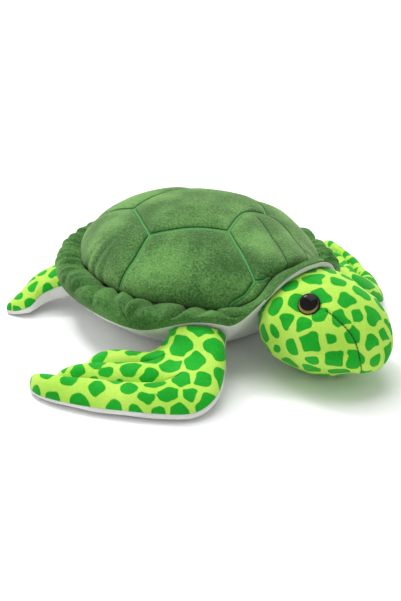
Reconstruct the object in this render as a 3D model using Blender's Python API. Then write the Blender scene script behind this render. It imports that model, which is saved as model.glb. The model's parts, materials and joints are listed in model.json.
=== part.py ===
"""Plush sea turtle lying on its belly.

A quilted shell cover, a gathered rim and a white belly panel hold the body's filling. The head is a
skin round its own filling, with two plastic safety eyes and their locking washers. Each flipper is a
top panel, a sole panel and a filling, hinged along the seam that joins it to the rim.

Metres. +X is the way the turtle faces, +Y is its left and +Z is up. The origin is on the floor, at
the middle of the belly's flat.
"""

import math

import bmesh
import bpy
import numpy as np
from mathutils import Matrix, Vector

# Fabric, seams and clearances
cover_thickness = 0.0015
seat_gap = 0.0003
seam_strip = 0.0034
facet_allowance = 0.0007
cut_overrun = 0.004
weld_share = 0.1
flat_facet_angle = math.radians(1)

# Body, seen from above: the rim's outer seam is an ellipse
shell_length = 0.289
shell_width = 0.259
rim_reach = 0.0245
rim_seam_height = 0.043
rim_edge_drop = 0.0025
rim_bulge = 0.0042
rim_fall_share = 0.8
rim_foot = 0.003
valley_drop = 0.002
gather_count = 12
gather_share = 0.42
rim_filling_turn = math.radians(36)

# Dome
dome_foot_height = 0.057
dome_rise = 0.0535
dome_profile_share = 0.56
dome_front_share = 0.10
scute_puff = 0.0028
scute_seam_depth = 0.0016
scute_seam_width = 0.0045
scute_ring_shares = (1.0, 0.8, 0.42)
dome_filling_shares = (0.93, 0.78, 0.5, 0.25)

# The arch that the rim makes over the neck
neck_arch_rise = 0.0485
neck_arch_width = 0.148
arch_side_share, arch_crown_share = 2.4, 1.6
dome_arch_share = 0.57
dome_arch_fade = 5

# Where the front flippers push the rim's seam up
flipper_lift = 0.012
flipper_lift_angle = math.radians(-44)
flipper_lift_spread = math.radians(26)

# Belly
belly_flat_length = 0.142
belly_flat_width = 0.140
belly_round_share = 1.35
belly_row_shares = (1.0, 0.62, 0.0)

# Head: a ball that turns in the body, drawn out into a snout
head_ball_radius = 0.042
head_half_width = 0.052
neck_stand_off = 0.005
neck_joint_height = 0.045
snout_length = 0.078
snout_droop = 0.011
jaw_taper_share = 0.16
chin_drop = 0.0055
chin_reach_share = 0.75
chin_sharpness = 5
head_ring_angles = (20, 38, 56, 73, 90, 110, 128)
head_filling_ring_angles = (25, 50, 75, 100, 125, 150)
neck_opening_angle = math.radians(36)

# Safety eyes
eye_radius = 0.0098
eye_height = 0.0054
eye_edge = 0.0012
eye_stem_radius = 0.0022
eye_stem_length = 0.012
eye_forward = 0.021
eye_angle = math.radians(39.8)
head_roll = math.radians(12)
washer_radius = 0.0085
washer_thickness = 0.0014
washer_recess = 0.0020

# Front flippers
front_root_angle = math.radians(-46)
front_length = 0.140
front_root_depth = 0.034
front_thickness = 0.028
front_seam_height = 0.0085
front_left_root_angle = math.radians(-54)
front_right_root_drop = 0.0013
front_left_root_drop = 0.003
front_left_sweep = math.radians(8)
front_left_reach_share = 0.82

# Rear flippers
rear_root_angle = math.radians(-137)
rear_length = 0.058
rear_root_depth = 0.030
rear_thickness = 0.019
rear_seam_height = 0.0080
rear_splay = math.radians(-24)

# All flippers
root_clearance = 0.0006
sole_edge_share = 0.10
flap_down_range = math.radians(3)
tuck_margin = math.radians(2)
finger_round_share = 2.4
finger_gap_share = 0.06
groove_depth_share = 0.45
filling_groove_share = 0.70

# Flipper edges from the root seam to the tip, as shares of the flipper's length: out from the seam, and back
front_leading_shares = [
    (0.000, -0.175), (0.165, -0.165), (0.330, -0.100), (0.447, 0.025), (0.474, 0.215),
    (0.472, 0.505), (0.420, 0.755), (0.350, 0.905), (0.280, 1.000),
]
front_trailing_shares = [
    (0.000, 0.175), (0.020, 0.212), (-0.008, 0.288), (-0.060, 0.382), (-0.096, 0.480),
    (-0.104, 0.610), (-0.094, 0.745), (-0.078, 0.880), (-0.060, 0.990),
]
rear_leading_shares = [
    (0.00, -0.375), (0.20, -0.395), (0.42, -0.400), (0.62, -0.370), (0.82, -0.270), (0.95, -0.090),
]
rear_trailing_shares = [
    (0.00, 0.375), (0.20, 0.390), (0.42, 0.375), (0.62, 0.325), (0.82, 0.220), (0.95, 0.050),
]
# Each finger from the trailing one to the leading one: the share of the length at which it ends, and at
# which its notch on the trailing side lies
front_finger_shares = [(0.71, 0.52), (0.835, 0.58), (1.00, 0.735)]
front_outer_notch_share = 0.88
rear_finger_shares = [(1.00, 0.80)]
rear_outer_notch_share = 0.80
# Where the rows and columns of a flipper's surface lie, as shares of its length and of a finger's width
front_row_shares = (0.0, 0.17, 0.31, 0.46, 0.67, 0.88, 1.0)
front_filling_row_shares = (0.0, 0.17, 0.31, 0.46, 0.67, 0.82)
rear_row_shares = (0.0, 0.25, 0.52, 0.82, 1.0)
rear_filling_row_shares = (0.0, 0.25, 0.52, 0.84)
front_column_shares = (0, 0.2, 0.5, 0.8, 0.94, 1.06, 1.3, 1.7, 1.94, 2.06, 2.2, 2.5, 2.8, 3)
front_filling_column_shares = (0.42, 0.67, 0.94, 1.06, 1.35, 1.65, 1.94, 2.06, 2.33, 2.60)
rear_column_shares = (0, 0.14, 0.32, 0.5, 0.68, 0.86, 1)
rear_filling_column_shares = (0.2, 0.32, 0.5, 0.68, 0.8)
# How the fingers part, the tips round off and the root lifts, as shares of the length
fingers_part_share, fingers_parted_share = 0.30, 0.55
tip_share = 0.28
bend_start_share, bend_end_share = 0.12, 0.62
front_lift_share = 0.38
rear_lift_share = 0.28

# Scute corners on the dome, right then left, as shares of its half length and half width. The crown is
# sewn on a little askew, and its front seam bends at the brow.
crown_rear_shares = ((-0.380, -0.383), (-0.420, 0.400))
crown_side_shares = ((0.057, -0.620), (0.000, 0.690))
crown_front_shares = ((0.443, -0.112), (0.332, 0.473))
crown_brow_share = (0.290, 0.260)
collar_shares = ((0.890, -0.325), (0.868, 0.292))
side_seam_angle = math.radians(-84)
collar_side_angle = math.radians(-32)
collar_front_angle = math.radians(-13)
rear_seam_angle = math.radians(-156)

# How finely the round pieces are divided
facets_per_gather = 4
rim_turns = 4
filling_facets = 24
head_facets = 18
head_filling_facets = 12
eye_facets = 20
eye_dome_steps = 4
seat_facets = 28

# Colours and roughness
SHELL_PILE = ((0.080, 0.216, 0.058), 0.9)
RIM_PILE = ((0.065, 0.185, 0.050), 0.9)
LIME_PILE = ((0.400, 0.700, 0.100), 0.9)
WHITE_PILE = ((0.800, 0.800, 0.780), 0.9)
FIBRE = ((0.850, 0.850, 0.830), 1.0)
EYE_PLASTIC = ((0.010, 0.008, 0.006), 0.08)
WASHER_PLASTIC = ((0.700, 0.700, 0.680), 0.4)

# Worked out from the sizes above
outer_half = np.array([shell_length / 2, shell_width / 2])
dome_half = outer_half - rim_reach
flat_half = np.array([belly_flat_length / 2, belly_flat_width / 2])
neck_joint = np.array([shell_length / 2 + neck_stand_off, 0.0, neck_joint_height])


def material(name, look):
    """A plain Principled material from a (colour, roughness) pair."""
    colour, roughness = look
    made = bpy.data.materials.new(name)
    made.use_nodes = True
    shader = made.node_tree.nodes["Principled BSDF"]
    shader.inputs["Base Color"].default_value = (*colour, 1.0)
    shader.inputs["Roughness"].default_value = roughness
    shader.inputs["Metallic"].default_value = 0.0
    made.diffuse_color = (*colour, 1.0)
    return made


def add_object(name, bm, look):
    """The bmesh as a named object in a material of its own, shaded smooth. A cutter has no look."""
    mesh = bpy.data.meshes.new(name)
    bm.normal_update()
    bm.to_mesh(mesh)
    bm.free()
    if look:
        mesh.materials.append(material(name, look))
    mesh.shade_smooth()
    made = bpy.data.objects.new(name, mesh)
    bpy.context.scene.collection.objects.link(made)
    return made


def grid_faces(bm, rows, wrap):
    """Quads between neighbouring rows of points, the last column joined to the first if wrap is set."""
    verts = [[bm.verts.new(point) for point in row] for row in rows]
    columns = len(verts[0])
    for lower, upper in zip(verts, verts[1:]):
        for j in range(columns if wrap else columns - 1):
            k = (j + 1) % columns
            bm.faces.new((lower[j], lower[k], upper[k], upper[j]))
    return verts


def fan(bm, ring, middle, flip=False):
    """Triangles from a ring of vertices to a point in its middle."""
    tip = bm.verts.new(middle)
    for j, vert in enumerate(ring):
        after = ring[(j + 1) % len(ring)]
        bm.faces.new((after, vert, tip) if flip else (vert, after, tip))


def thicken(made, thickness):
    """Gives an open surface the fabric's thickness, on its inner side."""
    solidify = made.modifiers.new("fabric", 'SOLIDIFY')
    solidify.thickness = thickness
    solidify.offset = -1.0
    solidify.use_even_offset = False


def shrink(made, distance):
    """Draws a closed surface in along its normals."""
    displace = made.modifiers.new("clear of the fabric", 'DISPLACE')
    displace.direction = 'NORMAL'
    displace.mid_level = 0.0
    displace.strength = -distance


def cut(made, cutter):
    """Takes the cutter's solid away."""
    boolean = made.modifiers.new("cut " + cutter.name, 'BOOLEAN')
    boolean.operation = 'DIFFERENCE'
    boolean.solver = 'EXACT'
    boolean.object = cutter


def guide(made):
    """Keeps a cutter out of the model."""
    made.hide_render = True
    made.display_type = 'WIRE'
    return made


def neck_arch(x, y):
    """How far the rim has risen over the neck: one on the centre line, none past the arch's width."""
    q = np.clip(np.abs(y) / (neck_arch_width / 2), 0.0, 1.0)
    return np.where(x > 0, (1 - q ** arch_side_share) ** arch_crown_share, 0.0)


def seam_height(angle):
    """Height of the rim's outer seam at an angle round the shell, raised at the neck and front flippers."""
    arch = neck_arch_rise * neck_arch(np.cos(angle), outer_half[1] * np.sin(angle))
    off_root = np.abs(np.arctan2(np.abs(np.sin(angle)), np.cos(angle)) - abs(flipper_lift_angle))
    push = np.cos(np.clip(off_root / flipper_lift_spread, 0.0, 1.0) * math.pi / 2) ** 2
    return rim_seam_height + arch + flipper_lift * push


def foot_height(angle):
    """Height of the dome's foot, which the arch lifts less than it lifts the seam."""
    lift = neck_arch_rise * dome_arch_share
    return dome_foot_height + lift * neck_arch(np.cos(angle), outer_half[1] * np.sin(angle))


def dome_point(u, v, stand_off=0.0):
    """A point on the dome over the unit disc's (u, v), moved out along the dome's normal by stand_off.

    The dome is half an ellipsoid, a little lower towards the front. Near the neck the arch lifts its foot.
    """
    reach = np.minimum(np.hypot(u, v), 1.0)
    height = dome_rise * (1 - reach ** 2) ** dome_profile_share
    lower = 1 - dome_front_share * np.clip(u, 0.0, 1.0)
    lift = (foot_height(np.arctan2(v, u)) - dome_foot_height) * reach ** dome_arch_fade
    point = np.stack([u * dome_half[0], v * dome_half[1], dome_foot_height + height * lower + lift], axis=-1)
    normal = np.stack([u / dome_half[0], v / dome_half[1], height / dome_rise ** 2], axis=-1)
    normal /= np.linalg.norm(normal, axis=-1, keepdims=True)
    return point + normal * np.asarray(stand_off)[..., None]


def scutes():
    """Each scute's outline on the unit disc: corners, with an arc where it runs along the dome's foot."""
    def on_foot(angle):
        return (math.cos(angle), math.sin(angle))

    def seam(start, end, steps=3):
        return [tuple(np.array(start) + (np.array(end) - start) * k / steps) for k in range(steps)]

    def arc(start, end, steps):
        return [on_foot(start + (end - start) * k / steps) for k in range(steps)]

    (rear, rear_left), (side, side_left) = crown_rear_shares, crown_side_shares
    (front, front_left), (collar, collar_left) = crown_front_shares, collar_shares
    brow = crown_brow_share
    crown = (seam(rear, side) + seam(side, front) + seam(front, brow) + seam(brow, front_left)
             + seam(front_left, side_left) + seam(side_left, rear_left) + seam(rear_left, rear))
    front_middle = (seam(front, collar) + seam(collar, on_foot(collar_front_angle), 1)
                    + arc(collar_front_angle, -collar_front_angle, 3)
                    + seam(on_foot(-collar_front_angle), collar_left, 1) + seam(collar_left, front_left)
                    + seam(front_left, brow) + seam(brow, front))
    rear_middle = (seam(rear, rear_left) + seam(rear_left, on_foot(-rear_seam_angle))
                   + arc(-rear_seam_angle, 2 * math.pi + rear_seam_angle, 5)
                   + seam(on_foot(rear_seam_angle), rear))
    outlines = [crown, front_middle, rear_middle]
    for turn, rear, side, front, collar in ((1, rear, side, front, collar),
                                            (-1, rear_left, side_left, front_left, collar_left)):
        side_angle, rear_angle = turn * side_seam_angle, turn * rear_seam_angle
        collar_side, collar_front = turn * collar_side_angle, turn * collar_front_angle
        outlines.append(seam(front, side) + seam(side, on_foot(side_angle))
                        + arc(side_angle, collar_side, 6) + seam(on_foot(collar_side), collar, 2)
                        + seam(collar, front))
        outlines.append(seam(side, rear) + seam(rear, on_foot(rear_angle)) + arc(rear_angle, side_angle, 7)
                        + seam(on_foot(side_angle), side))
        outlines.append(seam(collar, on_foot(collar_side), 2) + arc(collar_side, collar_front, 2)
                        + seam(on_foot(collar_front), collar, 1))
    return outlines


def make_shell_cover():
    """The quilted dome. Each scute is rings round its middle, drawn in at the seam and puffed inside it."""
    bm = bmesh.new()
    for outline in scutes():
        outline = np.array(outline)
        middle = outline.mean(axis=0)
        span = np.linalg.norm((outline - middle) * dome_half, axis=1).mean()
        shoulder = 1 - scute_seam_width / span
        on_foot = np.isclose(np.hypot(*outline.T), 1.0)
        edge = np.where(on_foot, 0.0, -scute_seam_depth)
        rows = [dome_point(outline[:, 0], outline[:, 1], edge)]
        for share in np.multiply(scute_ring_shares, shoulder):
            ring = middle + (outline - middle) * share
            rows.append(dome_point(ring[:, 0], ring[:, 1], scute_puff * (1 - share ** 2)))
        verts = grid_faces(bm, rows, wrap=True)
        fan(bm, verts[-1], dome_point(middle[0], middle[1], scute_puff))
    bmesh.ops.remove_doubles(bm, verts=bm.verts, dist=seat_gap)
    bmesh.ops.recalc_face_normals(bm, faces=bm.faces)
    made = add_object("shell_cover", bm, SHELL_PILE)
    thicken(made, cover_thickness)
    return made


def angles(count):
    return np.arange(count) * 2 * math.pi / count


def rim_row(angle, turn, swell):
    """One line round the rim: turn runs from 0 at the dome's foot to a quarter turn at the outer seam.

    Outwards it goes as the sine of turn, downwards as its cosine, and between it bulges up by swell.
    """
    foot = foot_height(angle) - seat_gap - rim_foot
    seam = seam_height(angle) + seam_strip
    half = dome_half[:, None] + seat_gap + (rim_reach - seat_gap) * math.sin(turn)
    height = seam + (foot - seam) * math.cos(turn) ** rim_fall_share + swell * math.sin(2 * turn)
    return np.stack([half[0] * np.cos(angle), half[1] * np.sin(angle), height], axis=-1)


def make_rim_cover():
    """The gathered band between the dome's foot and the outer seam, where it ends in an upright strip."""
    bm = bmesh.new()
    round_it = angles(gather_count * facets_per_gather)
    swell = rim_bulge * (1 + gather_share * np.cos(gather_count * round_it))
    rows = [rim_row(round_it, turn, swell) for turn in np.linspace(math.pi / 2, 0, rim_turns)]
    grid_faces(bm, [rows[0] - (0.0, 0.0, seam_strip)] + rows, wrap=True)
    bmesh.ops.recalc_face_normals(bm, faces=bm.faces)
    made = add_object("rim_cover", bm, RIM_PILE)
    if sum(face.normal.z for face in made.data.polygons) < 0:
        made.data.flip_normals()
    thicken(made, cover_thickness)
    return made


def belly_row(angle, share, drop):
    """One line round the belly: share is 1 at the outer seam and 0 at the edge of the flat."""
    half = flat_half[:, None] + (outer_half - flat_half)[:, None] * share
    edge = seam_height(angle) - seat_gap - drop
    height = edge * share ** belly_round_share
    return np.stack([half[0] * np.cos(angle), half[1] * np.sin(angle), height], axis=-1)


def make_belly_panel():
    """The white panel from the outer seam down to the flat that the turtle lies on."""
    bm = bmesh.new()
    round_it = angles(gather_count * facets_per_gather)
    rows = [belly_row(round_it, 1.0, 0.0)]
    rows += [belly_row(round_it, share, rim_edge_drop) for share in belly_row_shares]
    verts = grid_faces(bm, rows, wrap=True)
    fan(bm, verts[-1], (0.0, 0.0, 0.0))
    bmesh.ops.recalc_face_normals(bm, faces=bm.faces)
    made = add_object("belly_panel", bm, WHITE_PILE)
    if min(made.data.polygons, key=lambda face: face.center.z).normal.z > 0:
        made.data.flip_normals()
    thicken(made, cover_thickness)
    return made


def make_body_filling():
    """The stuffing between dome, rim and belly, drawn in to lie inside them."""
    bm = bmesh.new()
    round_it = angles(filling_facets)
    rows = [belly_row(round_it, share, rim_edge_drop) for share in belly_row_shares[:0:-1]]
    hollow = rim_bulge * (1 - gather_share) - facet_allowance
    rows.append(rim_row(round_it, rim_filling_turn, hollow))
    rows.append(rim_row(round_it, 0.0, 0.0) - (0.0, 0.0, valley_drop))
    rows += [dome_point(share * np.cos(round_it), share * np.sin(round_it)) for share in dome_filling_shares]
    verts = grid_faces(bm, rows, wrap=True)
    fan(bm, verts[0], (0.0, 0.0, 0.0), flip=True)
    fan(bm, verts[-1], dome_point(0.0, 0.0))
    bmesh.ops.recalc_face_normals(bm, faces=bm.faces)
    made = add_object("body_filling", bm, FIBRE)
    shrink(made, cover_thickness + seat_gap + scute_seam_depth + 3 * facet_allowance)
    return made


def head_row(polar, count):
    """One ring of the head: polar is 0 at the snout's tip and pi at the back.

    Behind the joint it is a ball, round about the joint's axis. Before it the ball is drawn out to
    the snout's length, the snout droops as the square of the distance, the jaw narrows downwards, and
    the chin hangs down to the floor, where it lies flat.
    """
    round_it = angles(count)
    along = math.cos(polar)
    across = math.sin(polar)
    x = along * (snout_length if along > 0 else head_ball_radius)
    forward = max(along, 0.0)
    below = np.clip(-np.sin(round_it), 0.0, 1.0)
    chin = chin_drop * below ** chin_sharpness * math.sin(math.pi * min(forward / chin_reach_share, 1.0))
    y = head_half_width * across * np.cos(round_it) * (1 - jaw_taper_share * below * forward)
    z = head_ball_radius * across * np.sin(round_it) - snout_droop * forward ** 2 - chin
    place = np.stack([np.full(count, x), y, z], axis=-1) + neck_joint
    place[:, 2] = np.maximum(place[:, 2], 0.0)
    return place


def eye_place(side):
    """Where an eye sits on the head, and the direction out of the head there. side is -1 right, 1 left.

    The eyes lie at the same angle up the head's section, which has rolled over to the left.
    """
    along = eye_forward / snout_length
    angle = eye_angle - side * head_roll
    across = math.sqrt(1 - along ** 2) * math.cos(angle)
    up = math.sqrt(1 - along ** 2) * math.sin(angle)
    height = head_ball_radius * up - snout_droop * along ** 2
    place = Vector(neck_joint) + Vector((eye_forward, side * head_half_width * across, height))
    droop_slope = 2 * snout_droop * along / snout_length
    out = Vector((along / snout_length, side * across / head_half_width, up / head_ball_radius))
    out.x += out.z * droop_slope
    return place, out.normalized()


def turned(name, profile, steps, look):
    """A solid turned about Z from (radius, height) points, from axis to axis or round a closed section."""
    bm = bmesh.new()
    ring = [bm.verts.new((radius, 0.0, height)) for radius, height in profile]
    closed = profile[0][0] > 0
    edges = [bm.edges.new(pair) for pair in zip(ring, ring[1:] + (ring[:1] if closed else []))]
    bmesh.ops.spin(bm, geom=ring + edges, cent=(0, 0, 0), axis=(0, 0, 1), angle=2 * math.pi, steps=steps)
    bmesh.ops.remove_doubles(bm, verts=bm.verts, dist=seat_gap * weld_share)
    bmesh.ops.recalc_face_normals(bm, faces=bm.faces)
    return add_object(name, bm, look)


def stand_on(made, place, out, lift=0.0):
    """Puts a turned piece at a place, with its axis along out."""
    aim = out.to_track_quat('Z', 'Y').to_matrix().to_4x4()
    made.matrix_world = Matrix.Translation(place + out * lift) @ aim


def make_eye(side):
    """A domed plastic safety eye on its stem."""
    name = "eye_right" if side < 0 else "eye_left"
    tilt = np.linspace(0, math.pi / 2, eye_dome_steps + 1)
    dome = [(eye_radius * math.sin(t), eye_edge + (eye_height - eye_edge) * math.cos(t)) for t in tilt]
    profile = dome + [(eye_radius, 0.0), (eye_stem_radius, 0.0), (eye_stem_radius, -eye_stem_length),
                      (0.0, -eye_stem_length)]
    made = turned(name, profile, eye_facets, EYE_PLASTIC)
    place, out = eye_place(side)
    stand_on(made, place, out, seat_gap)
    return made


def make_washer(side):
    """The locking washer pressed on the stem inside the head's skin."""
    name = "eye_washer_right" if side < 0 else "eye_washer_left"
    bore = eye_stem_radius + seat_gap
    profile = [(bore, 0.0), (washer_radius, 0.0), (washer_radius, washer_thickness),
               (bore, washer_thickness)]
    made = turned(name, profile, eye_facets, WASHER_PLASTIC)
    place, out = eye_place(side)
    stand_on(made, place, out, -(cover_thickness + washer_recess + washer_thickness))
    return made


def eye_cutter(side, name, radius, top, depth):
    """A round cutter along an eye's stem."""
    profile = [(0.0, top), (radius, top), (radius, -depth), (0.0, -depth)]
    made = guide(turned(name, profile, eye_facets, None))
    place, out = eye_place(side)
    stand_on(made, place, out)
    return made


def make_head_skin():
    """The head's fabric bag, open at the neck."""
    bm = bmesh.new()
    polars = [*np.radians(head_ring_angles), math.pi - neck_opening_angle]
    verts = grid_faces(bm, [head_row(polar, head_facets) for polar in polars], wrap=True)
    fan(bm, verts[0], neck_joint + (snout_length, 0.0, -snout_droop), flip=True)
    bmesh.ops.recalc_face_normals(bm, faces=bm.faces)
    made = add_object("head_skin", bm, LIME_PILE)
    if max(made.data.polygons, key=lambda face: face.center.x).normal.x < 0:
        made.data.flip_normals()
    thicken(made, cover_thickness)
    hole = eye_stem_radius + seat_gap
    for side in (-1, 1):
        cut(made, eye_cutter(side, "stem_hole", hole, cut_overrun, eye_stem_length))
    return made


def make_head_filling():
    """The head's stuffing, with a pocket for each washer."""
    bm = bmesh.new()
    polars = np.radians(head_filling_ring_angles)
    verts = grid_faces(bm, [head_row(polar, head_filling_facets) for polar in polars], wrap=True)
    fan(bm, verts[0], neck_joint + (snout_length, 0.0, -snout_droop), flip=True)
    fan(bm, verts[-1], neck_joint - (head_ball_radius, 0.0, 0.0))
    bmesh.ops.recalc_face_normals(bm, faces=bm.faces)
    made = add_object("head_filling", bm, FIBRE)
    shrink(made, cover_thickness + seat_gap + 2 * facet_allowance)
    pocket = washer_radius + seat_gap
    depth = eye_stem_length + seat_gap
    for side in (-1, 1):
        cut(made, eye_cutter(side, "washer_pocket", pocket, cut_overrun, depth))
    return made


def neck_seat():
    """The ball-shaped room for the head in the body, round about the neck joint's axis."""
    bm = bmesh.new()
    bmesh.ops.create_uvsphere(bm, u_segments=seat_facets, v_segments=seat_facets // 2, radius=1.0)
    room = seat_gap + facet_allowance
    size = Matrix.Diagonal((head_ball_radius + room, head_ball_radius + room, head_half_width + room, 1.0))
    turn = Matrix.Rotation(math.pi / 2, 4, 'X')
    bmesh.ops.transform(bm, matrix=Matrix.Translation(neck_joint) @ turn @ size, verts=bm.verts)
    return guide(add_object("neck_seat", bm, None))


def edge_curve(shares, u):
    """A smooth curve through an edge's points: a cubic through each four neighbours, at u from 0 to 1."""
    points = np.array(shares)
    last = len(points) - 1
    place = np.clip(np.asarray(u, float), 0.0, 1.0) * last
    k = np.minimum(place.astype(int), last - 1)
    t = (place - k)[..., None]
    before, here = points[np.maximum(k - 1, 0)], points[k]
    there, after = points[k + 1], points[np.minimum(k + 2, last)]
    return 0.5 * (2 * here + (there - before) * t + (2 * before - 5 * here + 4 * there - after) * t ** 2
                  + (3 * here - before - 3 * there + after) * t ** 3)


def smooth(t):
    """Zero below 0, one above 1, and level at both."""
    t = np.clip(t, 0.0, 1.0)
    return t * t * (3 - 2 * t)


class Flipper:
    """The sizes of one flipper, and its surface as a function of two parameters.

    u runs from the root seam to the finger tips, v from -1 on the trailing edge to 1 on the leading edge.
    All is worked out for the right side. A left flipper is mirrored at the end.
    """

    def __init__(self, name, side):
        self.name, self.side = name, side
        self.hinge = float(seam_height(self.root_angle)) - rim_edge_drop - root_clearance - self.root_drop

    def frame(self):
        """Root point, direction out of the body, and direction back along the root seam, in plan."""
        a = self.root_angle
        root = outer_half * (math.cos(a), math.sin(a))
        back = np.array([outer_half[0] * math.sin(a), -outer_half[1] * math.cos(a)])
        back /= np.linalg.norm(back)
        return root, np.array([-back[1], back[0]]), back

    def tuck_angle(self):
        """How far the root turns in under the rim: to the belly's slope there, less the flap's way down."""
        _, out, _ = self.frame()
        span = (outer_half - flat_half) * (math.cos(self.root_angle), math.sin(self.root_angle)) @ out
        slope = math.atan2(span, belly_round_share * self.hinge)
        return slope - flap_down_range - tuck_margin

    def columns(self, part):
        """Where the columns lie, closer near each finger's sides. The filling stays short of the edges."""
        shares = self.filling_column_shares if part == "filling" else self.column_shares
        return np.array(shares) / len(self.fingers) * 2 - 1

    def finger_of(self, v):
        """Which finger a column lies in, and its place across that finger from -1 to 1."""
        count = len(self.fingers)
        lane = (np.asarray(v) + 1) / 2 * count
        which = np.clip(lane.astype(int), 0, count - 1)
        return which, np.clip((2 * (lane - which) - 1) / (1 - 2 * finger_gap_share), -1.0, 1.0)

    def end_share(self, v):
        """Where a column ends: each finger's tip is a rounded curve between its two notches."""
        which, q = self.finger_of(v)
        tips = np.array([tip for tip, _ in self.fingers])
        notches = np.array([notch for _, notch in self.fingers] + [self.outer_notch])
        notch = np.where(q < 0, notches[which], notches[which + 1])
        round_off = (1 - np.abs(q) ** finger_round_share) ** (1 / finger_round_share)
        return notch + (tips[which] - notch) * round_off

    def plan(self, u, v):
        """Plan position: straight across from the trailing edge to the leading edge, at u."""
        trailing, leading = edge_curve(self.trailing, u), edge_curve(self.leading, u)
        local = (trailing + (leading - trailing) * ((v + 1) / 2)[:, None]) * self.length * (self.reach, 1.0)
        turn = self.bend * smooth((u - bend_start_share) / (bend_end_share - bend_start_share))
        out = local[:, 0] * np.cos(turn) - local[:, 1] * np.sin(turn)
        back = local[:, 0] * np.sin(turn) + local[:, 1] * np.cos(turn)
        root, out_way, back_way = self.frame()
        return root + out[:, None] * out_way + back[:, None] * back_way

    def levels(self, u, v, end, groove_share):
        """Heights of the top, the sole and the seam between them.

        The top is crowned, with a groove between fingers, and rounds off at the tips. Towards the
        root the whole section rises and deepens until its top is at the hinge.
        """
        _, q = self.finger_of(v)
        parted = smooth((u - fingers_part_share) / (fingers_parted_share - fingers_part_share))
        lifted = 1 - smooth(u / self.lift_share)
        broad = np.sqrt(np.clip(1 - v ** 2, 0.0, 1.0))
        lobe = np.sqrt(np.clip(1 - q ** 2, 0.0, 1.0))
        grooved = broad * (1 - groove_share * parted * (1 - lobe))
        at_tip = np.clip((u / end - 1 + tip_share) / tip_share, 0.0, 1.0)
        round_off = np.sqrt(1 - at_tip ** 2)
        low = (self.hinge - self.depth) * lifted
        thick = self.thickness + (self.depth - self.thickness) * lifted
        seam = low + self.seam + (self.depth / 2 - self.seam) * lifted
        top = seam + (low + thick - seam) * (grooved + (lobe - grooved) * at_tip) * round_off
        sole = seam - (seam - low) * np.where(broad * round_off > 0, 1.0, 1 - sole_edge_share)
        return top, sole, seam

    def rows(self, part):
        """Rows of points for the top panel, the sole, or both as one closed band.

        A panel's sides and tips end in a strip that stands upright at the seam. The first row turns
        the root's section in under the rim about the hinge, so that it stays round there.
        """
        v = self.columns(part)
        end = self.end_share(v)
        groove_share, tip = groove_depth_share, end
        if part == "filling":
            groove_share, tip = filling_groove_share, end * self.filling_row_shares[-1]
        made = []
        for share in self.filling_row_shares if part == "filling" else self.row_shares:
            u = share * end
            plan = self.plan(u, v)
            top, sole, seam = self.levels(u, v, tip, groove_share)
            upper = np.column_stack([plan, np.maximum(top, seam + seat_gap / 2 + seam_strip)])
            lower = np.column_stack([plan, sole])
            over = np.column_stack([plan, seam + seat_gap / 2])
            under = np.column_stack([plan, seam - seat_gap / 2])
            if part == "top":
                made.append(np.vstack([over[:1], upper, over[-1:]]))
                last = over
            elif part == "sole":
                made.append(np.vstack([under[:1], lower, under[-1:]])[::-1])
                last = under[::-1]
            else:
                inset = cover_thickness + seat_gap + 3 * facet_allowance
                upper[:, 2] = np.maximum(top - inset, seam)
                lower[:, 2] += inset
                made.append(np.vstack([upper, lower[::-1]]))
        if part == "filling":
            return made
        return [self.turned_in(made[0])] + made + [np.vstack([last[:1], last, last[-1:]])]

    def turned_in(self, row):
        """A row turned inwards about the hinge."""
        _, out_way, _ = self.frame()
        below = self.hinge - row[:, 2]
        inner = row.copy()
        inner[:, :2] -= np.outer(below * math.sin(self.tuck_angle()), out_way)
        inner[:, 2] = self.hinge - below * math.cos(self.tuck_angle())
        return inner


class FrontFlipper(Flipper):
    """The long flipper with three fingers. The left one sits further back, is drawn in and swept."""

    length, depth, thickness, seam = front_length, front_root_depth, front_thickness, front_seam_height
    trailing, leading = front_trailing_shares, front_leading_shares
    fingers, outer_notch = front_finger_shares, front_outer_notch_share
    row_shares, column_shares, lift_share = front_row_shares, front_column_shares, front_lift_share
    filling_row_shares, filling_column_shares = front_filling_row_shares, front_filling_column_shares

    @property
    def root_angle(self):
        return front_left_root_angle if self.side > 0 else front_root_angle

    @property
    def root_drop(self):
        return front_left_root_drop if self.side > 0 else front_right_root_drop

    @property
    def bend(self):
        return front_left_sweep if self.side > 0 else 0.0

    @property
    def reach(self):
        return front_left_reach_share if self.side > 0 else 1.0


class RearFlipper(Flipper):
    """The short flipper."""

    length, depth, thickness, seam = rear_length, rear_root_depth, rear_thickness, rear_seam_height
    trailing, leading = rear_trailing_shares, rear_leading_shares
    fingers, outer_notch = rear_finger_shares, rear_outer_notch_share
    row_shares, column_shares, lift_share = rear_row_shares, rear_column_shares, rear_lift_share
    filling_row_shares, filling_column_shares = rear_filling_row_shares, rear_filling_column_shares
    root_angle, root_drop, bend, reach = rear_root_angle, 0.0, rear_splay, 1.0


def flipper_surface(flipper, part):
    """A bmesh of the top panel, the sole, or the filling between them."""
    bm = bmesh.new()
    rows = flipper.rows(part)
    verts = grid_faces(bm, rows, wrap=part == "filling")
    if part == "filling":
        half = len(rows[0]) // 2
        for ring in (verts[0], verts[-1]):
            for j in range(half - 1):
                bm.faces.new((ring[j], ring[j + 1], ring[-2 - j], ring[-1 - j]))
    bmesh.ops.remove_doubles(bm, verts=bm.verts, dist=seat_gap * weld_share)
    if part == "sole":
        bmesh.ops.dissolve_limit(bm, angle_limit=flat_facet_angle, verts=bm.verts, edges=bm.edges)
    bmesh.ops.recalc_face_normals(bm, faces=bm.faces)
    return bm


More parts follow.
